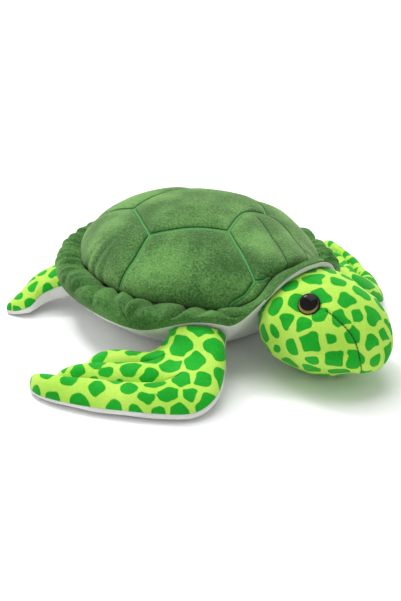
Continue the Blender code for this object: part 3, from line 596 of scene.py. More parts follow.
def neck_arch(s, angle):
    """One on the centre line over the neck and none past the arch's width: (1 - q^2.4)^1.6."""
    q = np.clip(np.abs(s.shell_width / 2 * np.sin(angle)) / (s.arch_width / 2), 0.0, 1.0)
    return np.where(np.cos(angle) > 0, (1 - q ** ARCH_SIDE) ** ARCH_CROWN, 0.0)


def seam_height(s, angle):
    """Height of the rim's outer seam: level, plus the neck's arch, plus cos^2 at each front flipper."""
    arch = s.arch_rise * neck_arch(s, angle)
    off_root = np.abs(np.arctan2(np.abs(np.sin(angle)), np.cos(angle)) - s.flipper_lift_angle)
    push = np.cos(np.clip(off_root / s.flipper_lift_spread, 0.0, 1.0) * math.pi / 2) ** 2
    return s.rim_seam_height + arch + s.flipper_lift * push


def foot_height(s, angle):
    """Height of the dome's foot: level, plus a share of the neck's arch, less what a swell hangs down."""
    lift = s.arch_rise * s.dome_arch * neck_arch(s, angle)
    return s.dome_foot_height + lift - bells(angle, DOME_SWELLS)[1]


def bells(angle, table):
    """How far in or out, and how far down, a table moves the shell: each row is a bell round the shell."""
    near = [bell(angle, middle, spread) for middle, spread, _, _ in table]
    return [sum(how_near * row[k] for how_near, row in zip(near, table)) for k in (2, 3)]


def dome_half(s):
    return s.shell_length / 2 - s.rim_reach, s.shell_width / 2 - s.rim_reach


def dome(s, u, v):
    """Points over the unit disc's (u, v), and the height over the foot.

    Height is rise (1 - r^2)^profile, a little lower in front. The foot's own lift fades as r^5, and its
    swell over the rim as r^4.
    """
    reach = np.minimum(np.hypot(u, v), 1.0)
    height = s.dome_rise * (1 - reach ** 2) ** s.dome_profile * (1 - s.dome_front * np.clip(u, 0.0, 1.0))
    lift = (foot_height(s, np.arctan2(v, u)) - s.dome_foot_height) * reach ** LIFT_FADE
    swell = bells(np.arctan2(v, u), DOME_SWELLS)[0] * reach ** SWELL_FADE
    half = dome_half(s)
    points = [u * (half[0] + swell), v * (half[1] + swell), s.dome_foot_height + height + lift]
    return np.stack(points, axis=-1), height


def on_dome(s, seam):
    """A seam's corners as a smooth line of points on the dome."""
    disc = curve(seam, np.linspace(0.0, 1.0, SEAM_POINTS))
    return dome(s, disc[:, 0], disc[:, 1])[0]


def shell_points(s, fine):
    """The quilted dome as a grid, its distances to the seams, and its tucked-in foot.

    Out along the normal goes the puff, 1 - exp(-d / shoulder) from seams and foot, less a bell-shaped
    hollow along each seam, less a bell-shaped crease at each fold up from the foot.
    """
    reach = np.sin(np.linspace(0.0, math.pi / 2, fine.shell_rings + 1)[1:, None])
    angle = turns(fine.shell_columns)[None, :]
    points, height = dome(s, reach * np.cos(angle), reach * np.sin(angle))
    seam, along = nearest(points, [on_dome(s, line) for line in DOUBLE_SEAMS])
    thin, thin_along = nearest(points, [on_dome(s, line) for line in THIN_SEAMS])
    puff = s.scute_puff * (1 - np.exp(-seam / s.scute_shoulder)) * (1 - np.exp(-height / s.scute_shoulder))
    push = puff * (1 - s.thin_share * hollow(thin, s.scute_shoulder / 2))
    push -= s.seam_depth * hollow(seam, s.seam_width) * np.minimum(1.0, s.foot_share + height / s.foot_fade)
    push -= s.thin_depth * hollow(thin, s.thin_width)
    for place, rise, depth, width, slant in DOME_CREASES:
        off = between(angle, math.radians(place) + math.radians(slant) * height) * s.shell_width * DOME_GIRTH
        push -= depth * hollow(off, width) * hollow(height, rise)
    push += s.unevenness * uneven(points, s.dome_waves, DOME_SEED) * np.minimum(1.0, height / s.wave_fade)
    points = points + outward(points, (0.0, 0.0, s.dome_foot_height)) * push[..., None]
    foot, inward = points[-1:], np.array([s.foot_turn, s.foot_turn, 1.0])
    tucked = [foot * inward - (0, 0, s.foot_turn_down), foot * inward ** 3 - (0, 0, s.foot_tuck)]
    fields = {"seam": seam, "along": along, "thin": thin, "thin_along": thin_along}
    return np.vstack([points, *tucked]), {key: np.vstack([value, value[-1:], value[-1:]])
                                          for key, value in fields.items()}


def rim_pillow(s, angle, rows, columns):
    """How far the rim's creases, pillows and gathers move its surface out, at each row and angle.

    Creases are bells across the rim, with one side standing over the other as
    tanh(d / width) exp(-|d| / fold width), and pillows swell between them. At the back right they are calmer.
    """
    pillow, crease = np.zeros((len(rows), columns)), np.ones((len(rows), columns)) * FAR_OFF
    for place, depth, width, slant in RIM_CREASES:
        off = between(angle, math.radians(place) + math.radians(slant) * (rows - 0.5)) * s.shell_width / 2
        lip = np.tanh(off / width) * np.exp(-np.abs(off) / s.fold_width) * np.sign(slant)
        pillow += depth * (s.fold * lip - hollow(off, width))
        crease = np.minimum(crease, np.abs(off))
    middle, spread, share_left_out = RIM_CALM
    calm = 1 - share_left_out * bell(angle, middle, spread)
    pillow = calm * (pillow + s.rim_pillow * (1 - hollow(crease, s.pillow_width)))
    for middle, spread, tall, waves in RIM_GATHERS:
        wave = np.cos(waves * angle + 2 * np.sin(5 * angle) + 2 * rows)
        pillow += tall * bell(angle, middle, spread) * wave
    return pillow


def rim_points(s, fine):
    """The gathered rim as a closed band, row by row from its tucked foot over the top and under its edge.

    Outwards a row goes as the sine of its turn and downwards as its cosine to the 0.8, and the
    stuffing lifts it by bulge sin(2 turn). The edge then rolls under in a quarter turn, past the seam at the
    sides and short of it over the neck.
    """
    angle = turns(fine.rim_columns)[None, :]
    rows = np.linspace(0.0, 1.0, fine.rim_rows)[:, None]
    swing = rows * math.pi / 2
    foot = foot_height(s, angle) - s.rim_foot
    inwards, down = bells(angle, RIM_TAKEN_IN)
    top = seam_height(s, angle) - down + s.seam_strip
    swell = bells(angle, DOME_SWELLS)[0]
    height = top + (foot - top) * np.cos(swing) ** RIM_SECTION + s.rim_bulge * np.sin(2 * swing)
    spread = (s.rim_reach - inwards - swell) * np.sin(swing)
    half = [side + swell + spread for side in dome_half(s)]
    outer = np.stack([half[0] * np.cos(angle), half[1] * np.sin(angle), height], axis=-1)
    fade = np.sin(np.clip(rows * (1 - s.rim_start) + s.rim_start, 0, 1) * math.pi) ** RIM_FADE
    push = rim_pillow(s, angle, rows, fine.rim_columns) * (1 - s.neck_calm * neck_arch(s, angle)) * fade
    push += s.unevenness * uneven(outer, s.rim_waves, RIM_SEED) * fade
    outer = outer + outward(outer, (0.0, 0.0, s.rim_seam_height)) * push[..., None]
    first, edge = outer[0], outer[-1]
    out = np.stack([np.cos(angle[0]), np.sin(angle[0]), np.zeros(fine.rim_columns)], axis=-1)
    overhang = s.rim_overhang + sum(deep * bell(angle[0], middle, wide) for middle, wide, deep in RIM_DROOPS)
    overhang -= (overhang + s.neck_edge) * smooth(neck_arch(s, angle[0]) / s.arch_start)
    inner = []
    for step in np.linspace(0.1, 1.0, RIM_EDGE_ROWS) * math.pi / 2:
        drop = ((s.seam_strip + overhang) * math.sin(step))[:, None] * (0, 0, 1)
        inner.append(edge - drop - out * s.edge_roll * (1 - math.cos(step)))
    under = [inner[-1] - out * s.rim_hem + (0, 0, s.rim_hem_rise),
             first - out * s.rim_tuck - (0, 0, s.rim_tuck_drop)]
    start = [first - out * s.foot_in - (0, 0, s.foot_drop), first - out * s.lip_in - (0, 0, s.lip_drop)]
    return np.concatenate([start, outer, inner, under, start[:1]])


def belly_points(s, head, fine):
    """The white belly from the seam down to the flat, closed inside under the rim.

    Height goes as share^1.35 from the flat out to the seam, a bulge of sin(pi share^3) swells it
    outwards under the seam, and the points keep out of the head's ball.
    """
    angle = turns(fine.belly_columns)[None, :]
    part = np.linspace(1.0, 0.0, fine.belly_rows)[:, None]
    flat = np.array([s.flat_length / 2, s.flat_width / 2])
    outer = np.array([s.shell_length / 2, s.shell_width / 2]) - s.belly_inset
    neck = neck_arch(s, angle)
    inwards, down = bells(angle, RIM_TAKEN_IN)
    swell = s.belly_bulge * np.sin(math.pi * part ** BELLY_BULGE_SIDE)
    swell = swell + s.neck_bead * neck * hollow(part - s.bead_place, s.bead_width)
    swell = swell - inwards * part ** TAKEN_IN_FADE
    half = [flat[k] + (outer[k] - flat[k]) * part + swell for k in (0, 1)]
    shown = s.neck_edge * s.edge_margin * smooth(neck / s.arch_start)
    height = (seam_height(s, angle) - s.seam_gap - down + shown) * part ** BELLY_SECTION
    points = np.stack([half[0] * np.cos(angle), half[1] * np.sin(angle), height], axis=-1)
    out = np.stack([np.cos(angle[0]), np.sin(angle[0]), np.zeros(fine.belly_columns)], axis=-1)
    tucked = [points[0] - out * s.belly_tuck - (0, 0, s.belly_tuck_drop),
              points[0] - out * s.belly_fold - (0, 0, s.belly_fold_drop)]
    points = np.concatenate([tucked, points])
    bumps = s.belly_unevenness * uneven(points, s.belly_waves, BELLY_SEED)
    points[..., 2] += bumps * smooth(points[..., 2] / s.belly_wave_fade)
    away = points - (head.joint_reach, 0.0, head.joint_height)
    room = np.array([head.ball_radius, head.half_width, head.ball_radius]) + s.neck_room
    reach = np.linalg.norm(away / room, axis=-1, keepdims=True)
    return np.where(reach < 1, points - away + away / np.maximum(reach, NEAR_MIDDLE), points)


# Head

# Powers and shares that shape the curves
CHIN_SIDE, CHIN_END, SNOUT_LIFT_END = 5, 0.75, 0.8
HEAD_SEED = 12
EYE_DOME_ROWS, EYE_EDGE_ROWS = 26, 6


def head_points(s, fine):
    """The stuffed head as rings from the snout to the back, and its distances to the snout's seams.

    Behind the neck joint it is a ball. In front the ball is drawn out to the snout, which droops as the
    square of the distance, the jaw narrows downwards, the chin hangs to the floor and lies flat there,
    and the snout's underside rises off it. Seams and eyes lie in bell-shaped hollows.
    """
    polar = np.linspace(0.0, math.pi, fine.head_rings + 2)[1:-1, None]
    around = turns(fine.head_columns)[None, :]
    along, across = np.cos(polar), np.sin(polar)
    forward, below = np.maximum(along, 0.0), np.clip(-np.sin(around), 0.0, 1.0)
    x = along * np.where(along > 0, s.snout_length, s.ball_radius) + 0 * around
    y = s.half_width * across * np.cos(around) * (1 - s.jaw_taper * below * forward)
    chin = s.chin_drop * below ** CHIN_SIDE * np.sin(math.pi * np.minimum(forward / CHIN_END, 1.0))
    z = s.ball_radius * across * np.sin(around) - s.snout_droop * forward ** 2 - chin
    z = z + s.snout_lift * below * smooth(forward / SNOUT_LIFT_END) * across
    middle = np.array([s.joint_reach, 0.0, s.joint_height])
    points = np.stack([x, y, z], axis=-1) + middle
    push = s.unevenness * uneven(points, s.waves, HEAD_SEED) * smooth(x / s.wave_fade + s.wave_start)
    seam, along_seam = nearest(points, snout_seams(s, points, middle))
    push -= s.seam_depth * hollow(seam, s.seam_width) - s.seam_swell * hollow(seam, s.seam_swell_width)
    for side in (-1, 1):
        off = np.linalg.norm(points - np.array(eye_place(s, side)[0]), axis=-1)
        push -= (s.eye_sink + s.socket) * hollow(off, s.eye_hollow)
    points = points + outward(points, middle) * push[..., None]
    points[..., 2] = np.maximum(points[..., 2], s.floor_gap)
    return points, seam, along_seam


def snout_seams(s, points, middle):
    """The snout's two seams as lines through the nearest points of the head.

    The left one is the right one mirrored, and turned about the head's length by twice its roll.
    """
    right_seam = np.array(SNOUT_SEAM) - middle
    twist = 2 * s.roll
    spin = np.array([[1, 0, 0],
                     [0, math.cos(twist), math.sin(twist)],
                     [0, -math.sin(twist), math.cos(twist)]])
    corners = np.vstack([right_seam, (right_seam * (1, -1, 1)) @ spin.T]) + middle
    places = points.reshape(-1, 3)
    nearby = [np.linalg.norm(places - corner, axis=1).argmin() for corner in corners]
    return np.split(places[nearby], 2)


def eye_place(s, side):
    """Where an eye sits on the head, and the direction out of the head there. side is -1 right, 1 left.

    The eyes lie at the same angle up the head's section, which has rolled over to the left.
    """
    along = s.eye_forward / s.eye_snout
    angle = s.eye_angle - side * s.roll
    across = math.sqrt(1 - along ** 2) * math.cos(angle)
    up = math.sqrt(1 - along ** 2) * math.sin(angle)
    height = s.joint_height + s.ball_radius * up - s.snout_droop * along ** 2
    place = Vector((s.joint_reach + s.eye_forward, side * s.half_width * across, height))
    out = Vector((along / s.eye_snout, side * across / s.half_width, up / s.ball_radius))
    out.x += out.z * 2 * s.snout_droop * along / s.eye_snout
    out.z *= 1 - s.eye_level
    return place, out.normalized()


def eye_points(s, side, fine):
    """The domed eye turned about its own axis, its two ends, and each point's place across its face.

    The profile is a quarter of an ellipse from the middle to the edge, a rounded edge, a flat back and
    the stem.
    """
    tilt = np.linspace(0.04, math.pi / 2, EYE_DOME_ROWS)
    edge = np.linspace(0.2, 1.0, EYE_EDGE_ROWS) * math.pi / 2
    edge_radius = s.eye_radius - s.eye_edge / 2 * (1 - np.cos(edge))
    stem = s.eye_radius * s.stem_share
    radius = np.concatenate([s.eye_radius * np.sin(tilt), edge_radius, [stem, stem]])[:, None]
    dome_height = s.eye_edge + (s.eye_height - s.eye_edge) * np.cos(tilt)
    height = np.concatenate([dome_height, s.eye_edge * (1 - np.sin(edge)), [0.0, -s.stem_length]])[:, None]
    around = turns(fine.eye_columns)[None, :]
    flat_x, flat_y = radius * np.cos(around), radius * np.sin(around)
    place, out = (np.array(found) for found in eye_place(s, side))
    right = np.cross((0.0, 0.0, 1.0), out)
    right /= np.linalg.norm(right)
    up = np.cross(out, right)
    base = place - out * (s.eye_sink + s.left_sink * (side > 0))
    points = base + flat_x[..., None] * right + flat_y[..., None] * up
    points = points + (height + 0 * around)[..., None] * out
    tips = [base + out * height[0, 0], base + out * height[-1, 0]]
    return points, tips, {"face_x": flat_x / s.eye_radius, "face_y": flat_y / s.eye_radius}


# Flippers

# Where the fingers part, where the whole thins down, where it is bent, and where its tips round off: each a
# share of its length at which that starts, and the share over which it builds up
PARTING, THINNING, BEND, TIP_SHARE = (0.30, 0.25), (0.3, 0.6), (0.12, 0.5), 0.36
# Over how much of its length a flipper falls to the floor, and the power of the rear ones' fall
FRONT_FALL, REAR_FALL, REAR_FALL_CURVE = 0.38, 1.0, 1.35
# Powers that round the finger tips and square the sole's corners
FINGER_ROUND, SOLE_CORNER = 2.4, 5
FINGER_GAP, SEAM_DROP, SOLE_GROOVE, WOBBLE_RISE = 0.02, 0.35, 0.35, 3
ARM_ROWS_SHARE, TUCK_ROWS = 0.55, 7


def builds_up(u, stretch):
    """Zero before a stretch of the length, one after it, and level at both ends."""
    start, over = stretch
    return smooth((u - start) / over)


class Flipper:
    """One flipper's sizes, and its surface as a function of two parameters.

    u runs from the root seam to the finger tips, v from -1 on the trailing edge to 1 on the leading
    edge. All is worked out for the right side. A left flipper is mirrored at the end.
    """

    def __init__(self, body, s, end, side):
        self.body, self.s, self.side = body, s, side
        self.name = f"{end}_flipper_{'right' if side < 0 else 'left'}"
        self.front = end == "front"
        if self.front:
            self.length, self.depth, self.thickness = s.front_length, s.front_depth, s.front_thickness
            self.seam, self.tip_thickness = s.front_seam, s.front_tip
            self.angle = s.front_right_angle if side < 0 else s.front_left_angle
            drop = s.front_right_drop if side < 0 else s.front_left_drop
            self.bend = 0.0 if side < 0 else s.front_left_sweep
            self.reach = 1.0 if side < 0 else s.front_left_reach
            self.trailing, self.leading = FRONT_TRAILING, FRONT_LEADING
            self.fingers, self.outer_notch = FRONT_FINGERS, FRONT_OUTER_NOTCH
        else:
            self.length, self.depth, self.thickness = s.rear_length, s.rear_depth, s.rear_thickness
            self.seam, self.tip_thickness = s.rear_seam, s.rear_tip
            self.angle, drop, self.bend, self.reach = s.rear_angle, s.rear_drop, s.rear_splay, 1.0
            self.trailing, self.leading = REAR_TRAILING, REAR_LEADING
            self.fingers, self.outer_notch = REAR_FINGERS, REAR_OUTER_NOTCH
        self.hinge = float(seam_height(body, self.angle)) - drop

    def frame(self):
        """Root point, direction out of the body, and direction back along the root seam, in plan."""
        half = np.array([self.body.shell_length / 2, self.body.shell_width / 2])
        a = self.angle
        root = half * (math.cos(a), math.sin(a))
        back = np.array([half[0] * math.sin(a), -half[1] * math.cos(a)])
        back /= np.linalg.norm(back)
        return root, np.array([-back[1], back[0]]), back

    def tuck_angle(self):
        """How far the root turns in under the rim: to the belly's slope there, less some room."""
        _, out, _ = self.frame()
        half = np.array([self.body.shell_length / 2, self.body.shell_width / 2])
        flat = np.array([self.body.flat_length / 2, self.body.flat_width / 2])
        span = (half - flat) * (math.cos(self.angle), math.sin(self.angle)) @ out
        return math.atan2(span, BELLY_SECTION * self.hinge) - self.s.root_room

    def columns(self, per_finger):
        """Where the columns lie, closer at a finger's sides: v over all, q over the finger, and which one."""
        fingers = len(self.fingers)
        q = np.tile(np.sin(np.linspace(-math.pi / 2, math.pi / 2, per_finger)), fingers)
        which = np.repeat(np.arange(fingers), per_finger)
        low = which + np.where(which > 0, FINGER_GAP, 0.0)
        high = which + 1 - np.where(which < fingers - 1, FINGER_GAP, 0.0)
        return (low + (high - low) * (q + 1) / 2) / fingers * 2 - 1, q, which

    def ends(self, q, which):
        """Where each column ends: a finger's tip is a rounded curve between its two notches."""
        tips = np.array([tip for tip, _ in self.fingers])
        notches = np.array([notch for _, notch in self.fingers] + [self.outer_notch])
        notch = np.where(q < 0, notches[which], notches[which + 1])
        return notch + (tips[which] - notch) * (1 - np.abs(q) ** FINGER_ROUND) ** (1 / FINGER_ROUND)

    def plan(self, u, v):
        """Plan position: straight across from the trailing edge to the leading edge, at u, then bent."""
        trailing, leading = curve(self.trailing, u), curve(self.leading, u)
        local = (trailing + (leading - trailing) * ((v + 1) / 2)[..., None]) * self.length * (self.reach, 1.0)
        bend = self.bend * builds_up(u, BEND)
        out = local[..., 0] * np.cos(bend) - local[..., 1] * np.sin(bend)
        back = local[..., 0] * np.sin(bend) + local[..., 1] * np.cos(bend)
        root, out_way, back_way = self.frame()
        return root + out[..., None] * out_way + back[..., None] * back_way

    def lifted(self, u):
        """How far the flipper is lifted off the floor: one at the root, and none where it lies on it."""
        if self.front:
            return 1 - smooth(u / FRONT_FALL)
        return (1 - np.clip(u / REAR_FALL, 0.0, 1.0)) ** REAR_FALL_CURVE

    def grids(self, fine):
        """The top and the sole as grids that share their edge seam.

        The top is an ellipse across, with a groove between fingers, and rounds off at the tips as
        sqrt(1 - t^2). The sole is a squarer curve, (1 - v^5)^(1/5), drawn in under each groove. Towards the
        root the section rises to the hinge, where it turns in under the rim about the hinge and is closed.
        """
        v, q, which = self.columns(fine.finger_columns)
        arm_rows = int(fine.flipper_rows * ARM_ROWS_SHARE)
        arm = np.linspace(0.0, 1 - TIP_SHARE, arm_rows, endpoint=False)
        tip = 1 - TIP_SHARE + TIP_SHARE * np.sin(np.linspace(0, math.pi / 2, fine.flipper_rows - arm_rows))
        part = np.concatenate([arm, tip])[:, None]
        u = part * self.ends(q, which)[None, :]
        v, q = v[None, :] + 0 * u, q[None, :] + 0 * u
        plan = self.plan(u, v)
        parted, lifted = builds_up(u, PARTING), self.lifted(u)
        broad, lobe = np.sqrt(np.clip(1 - v ** 2, 0.0, 1.0)), np.sqrt(np.clip(1 - q ** 2, 0.0, 1.0))
        grooved = broad * (1 - self.s.groove * parted * (1 - lobe))
        at_tip = np.clip((part - 1 + TIP_SHARE) / TIP_SHARE, 0.0, 1.0)
        low = (self.hinge - self.depth) * lifted
        thick = self.thickness + (self.tip_thickness - self.thickness) * builds_up(u, THINNING)
        thick = thick + (self.depth - thick) * lifted
        seam = low + self.seam * (1 - SEAM_DROP * at_tip) + (self.depth / 2 - self.seam) * lifted
        full = (grooved + (lobe - grooved) * at_tip) * np.sqrt(1 - at_tip ** 2)
        top = seam + (low + thick - seam) * full
        corner = 1 / SOLE_CORNER
        square = (1 - np.abs(v) ** SOLE_CORNER) ** corner * (1 - at_tip ** SOLE_CORNER) ** corner
        notched = SOLE_GROOVE * parted
        square *= 1 - (notched + (1 - notched) * at_tip ** 3) * (1 - lobe) ** 2
        sole = seam - (seam - low) * np.clip(square, 0.0, 1.0)
        made = [self.panel(plan, level, seam) for level in (top, sole)]
        return [points * (1, -1, 1) for points in made] if self.side > 0 else made

    def panel(self, plan, level, seam):
        """The top or the sole at its levels over the plan: made uneven, kept over the floor and closed."""
        points = np.concatenate([plan, level[..., None]], axis=-1)
        face = outward(points, [*plan.mean(axis=(0, 1)), float(seam.mean())], wrap=False)
        rise = np.minimum(1.0, np.abs(level - seam) / self.thickness * WOBBLE_RISE)
        wobble = self.s.unevenness * uneven(points, self.s.waves, len(self.name)) * rise
        points = points + face * wobble[..., None]
        points[..., 2] = np.maximum(points[..., 2], 0.0)
        tuck = self.tuck_angle()
        closing = points[0].copy()
        closing[:, 2] = seam[0]
        inner = [self.turned_in(points[0], a) for a in np.linspace(tuck, 0.0, TUCK_ROWS)[:-1]]
        return np.vstack([[self.turned_in(closing, tuck)], inner, points])

    def turned_in(self, row, turned):
        """A row of the root turned inwards about the hinge."""
        _, out_way, _ = self.frame()
        below = self.hinge - row[:, 2]
        inner = row.copy()
        inner[:, :2] -= np.outer(below * math.sin(turned), out_way)
        inner[:, 2] = self.hinge - below * math.cos(turned)
        return inner


def edge_distance(points):
    """How far each point of a panel is from the panel's sides and tip, measured over its surface."""
    across = np.linalg.norm(np.diff(points, axis=1), axis=-1)
    from_trailing = np.hstack([np.zeros((len(points), 1)), np.cumsum(across, axis=1)])
    from_leading = from_trailing[:, -1:] - from_trailing
    down = np.linalg.norm(np.diff(points, axis=0), axis=-1)
    from_root = np.vstack([np.zeros((1, points.shape[1])), np.cumsum(down, axis=0)])
    from_tip = from_root[-1:] - from_root
    return np.minimum(np.minimum(from_trailing, from_leading), from_tip), from_root


# Materials

# Sizes of a tuft of the green and white pile, of its hairs' depth, of the streaks and broad patches in which
# it is brushed, of a stitch, and of the fray round a printed spot
TUFT, PILE_DEPTH = 0.0018, 0.0016
STREAK, BROAD_PATCH = 0.0036, 0.075
STITCH, FRAY = 0.0028, 0.0035
# How far the pupil sits over the middle of the eye, as a share of its radius
PUPIL_RISE = 0.11


class Wiring:
    """Adds nodes to a tree and links them. Every value may be a number, a colour or another node's output."""

    def __init__(self, tree):
        self.tree = tree

    def put(self, socket, value):
        if isinstance(value, bpy.types.NodeSocket):
            self.tree.links.new(value, socket)
        elif value is not None:
            socket.default_value = value

    def add(self, kind, inputs=None, **settings):
        made = self.tree.nodes.new(kind)
        for key, value in settings.items():
            setattr(made, key, value)
        for key, value in (inputs or {}).items():
            self.put(made.inputs[key], value)
        return made

    def math(self, operation, first, second=None, third=None, clamp=False):
        return self.add("ShaderNodeMath", dict(enumerate((first, second, third))), operation=operation,
                        use_clamp=clamp).outputs[0]

    def vector(self, operation, first, second=None, scale=None):
        made = self.add("ShaderNodeVectorMath", {0: first, 1: second}, operation=operation)
        if scale is not None:
            self.put(made.inputs["Scale"], scale)
        return made

    def ramp(self, value, low, high, to_low=0.0, to_high=1.0):
        return self.add("ShaderNodeMapRange", {"Value": value, "From Min": low, "From Max": high,
                                               "To Min": to_low, "To Max": to_high},
                        interpolation_type='SMOOTHSTEP').outputs["Result"]

    def mix(self, factor, first, second, blend='MIX'):
        made = self.add("ShaderNodeMix", {0: factor, 6: rgba(first), 7: rgba(second)}, data_type='RGBA',
                        blend_type=blend)
        return made.outputs[2]

    def noise(self, place, size, detail=2.0, rough=0.5):
        per_metre = size if isinstance(size, bpy.types.NodeSocket) else 1.0 / size
        return self.add("ShaderNodeTexNoise", {"Vector": place, "Scale": per_metre, "Detail": detail,
                                               "Roughness": rough}).outputs["Fac"]

    def field(self, name):
        return self.add("ShaderNodeAttribute", attribute_name=name).outputs["Fac"]

    def group(self, tree, **inputs):
        made = self.tree.nodes.new("ShaderNodeGroup")
        made.node_tree = tree
        for key, value in inputs.items():
            self.put(made.inputs[key.replace("_", " ").title()], value)
        return made.outputs


def rgba(value):
    """A colour setting with its opacity, or another node's output as it is."""
    return value if isinstance(value, bpy.types.NodeSocket) else (*value[:3], 1.0)


def new_group(name, inputs, outputs):
    """An empty shader node group: inputs are (name, kind, default), outputs are (name, kind)."""
    tree = bpy.data.node_groups.new(name, 'ShaderNodeTree')
    for label, kind, default in inputs:
        tree.interface.new_socket(label, in_out='INPUT', socket_type=kind).default_value = default
    for label, kind in outputs:
        tree.interface.new_socket(label, in_out='OUTPUT', socket_type=kind)
    wiring = Wiring(tree)
    return wiring, wiring.add("NodeGroupInput").outputs, wiring.add("NodeGroupOutput").inputs


def pile_group():
    """Short pile: its shade, which is random pile tone and partly painted sheen and shade on the brushed nap,
    and the height of its hairs.

    Shade is a slow noise with a finer one on it, and height is a noise at the size of a tuft.
    """
    if "Brushed Pile" in bpy.data.node_groups:
        return bpy.data.node_groups["Brushed Pile"]
    w, given, put = new_group(
        "Brushed Pile",
        [("Tufts", 'NodeSocketFloat', 900.0), ("Patches", 'NodeSocketFloat', 28.0)],
        [("Shade", 'NodeSocketFloat'), ("Height", 'NodeSocketFloat')])
    place = w.add("ShaderNodeTexCoord").outputs["Object"]
    patches = w.ramp(w.noise(place, given["Patches"], 2.0, 0.45), 0.25, 0.75)
    brushed = w.add("ShaderNodeMapping", {"Vector": place, "Rotation": (0.0, 0.5, 0.9),
                                          "Scale": (1.0, 3.0, 2.0)}).outputs[0]
    streaks = w.ramp(w.noise(brushed, STREAK, 3.0, 0.6), 0.25, 0.75)
    tufts = w.noise(place, given["Tufts"], 3.0, 0.7)
    broad = w.math('MULTIPLY', w.ramp(w.noise(place, BROAD_PATCH, 2.0), 0.30, 0.70), 0.14)
    shade = w.math('MULTIPLY_ADD', patches, 0.30, w.math('MULTIPLY_ADD', streaks, 0.16, broad))
    shade = w.math('MULTIPLY_ADD', w.ramp(tufts, 0.30, 0.70), 0.34, shade)
    w.put(put["Shade"], w.ramp(shade, 0.15, 0.87))
    w.put(put["Height"], tufts)
    return w.tree


def stitch_group():
    """Rows of stitches at a distance from a seam: a mask for the stitches, one for painted shade in the
    seam's hollow, and a height.

    The stitch mask is a band at the offset, broken into stitches by a wave along the seam, and it also stands
    for painted shade in the grooves that the stitches draw in.
    """
    if "Seam Stitches" in bpy.data.node_groups:
        return bpy.data.node_groups["Seam Stitches"]
    w, given, put = new_group(
        "Seam Stitches",
        [("Distance", 'NodeSocketFloat', 1.0), ("Along", 'NodeSocketFloat', 0.0),
         ("Offset", 'NodeSocketFloat', 0.0014), ("Width", 'NodeSocketFloat', 0.0004)],
        [("Thread And Groove Shade", 'NodeSocketFloat'), ("Hollow", 'NodeSocketFloat'), ("Height", 'NodeSocketFloat')])
    off = w.math('ABSOLUTE', w.math('SUBTRACT', given["Distance"], given["Offset"]))
    band = w.ramp(w.math('DIVIDE', off, given["Width"]), 0.5, 1.5, 1.0, 0.0)
    beat = w.math('SINE', w.math('MULTIPLY', given["Along"], 2 * math.pi / STITCH))
    broken = w.ramp(beat, -0.9, 0.2)
    w.put(put["Thread And Groove Shade"], w.math('MULTIPLY', band, w.math('MULTIPLY_ADD', broken, 0.45, 0.55)))
    # Painted shade: the hollow's mask darkens the fabric beside the stitches, where the seam draws it in
    w.put(put["Hollow"], w.ramp(given["Distance"], w.math('ADD', given["Offset"], given["Width"]),
                                w.math('MULTIPLY_ADD', given["Width"], 4.0, given["Offset"]), 1.0, 0.0))
    w.put(put["Height"], w.math('MULTIPLY', band, -1.0))
    return w.tree


def spot_group():
    """Printed spots from their depth, which is how far inside a spot a point is, in metres.

    The depth is shifted by a noise, and past zero the print shows, darker by its edge.
    """
    if "Printed Spots" in bpy.data.node_groups:
        return bpy.data.node_groups["Printed Spots"]
    w, given, put = new_group(
        "Printed Spots",
        [("Depth", 'NodeSocketFloat', 0.0), ("Fray", 'NodeSocketFloat', 0.0008)],
        [("Spot", 'NodeSocketFloat'), ("Rim", 'NodeSocketFloat')])
    place = w.add("ShaderNodeTexCoord").outputs["Object"]
    fray = w.math('SUBTRACT', w.noise(place, FRAY, 2.0), 0.5)
    depth = w.math('MULTIPLY_ADD', fray, given["Fray"], given["Depth"])
    w.put(put["Spot"], w.ramp(depth, -0.0004, 0.0004))
    w.put(put["Rim"], w.ramp(depth, 0.0002, 0.0016, 1.0, 0.0))
    return w.tree


def fabric(name, roughness=0.85, sheen=0.4, tint=(1, 1, 1)):
    """A Principled material with the sheen of short pile, and its wiring."""
    made = bpy.data.materials.new(name)
    made.use_nodes = True
    shader = made.node_tree.nodes["Principled BSDF"]
    shader.inputs["Roughness"].default_value = roughness
    shader.inputs["Specular IOR Level"].default_value = 0.25
    shader.inputs["Sheen Weight"].default_value = sheen
    shader.inputs["Sheen Roughness"].default_value = 0.45
    shader.inputs["Sheen Tint"].default_value = (*tint, 1.0)
    return made, shader, Wiring(made.node_tree)


def bump(w, shader, height, distance, strength=1.0, under=None):
    """Leads a height in metres into the shader's normal, over another bump if one is given."""
    made = w.add("ShaderNodeBump", {"Height": height, "Distance": distance, "Strength": strength,
                                    "Normal": under})
    w.put(shader.inputs["Normal"], made.outputs[0])
    return made.outputs[0]


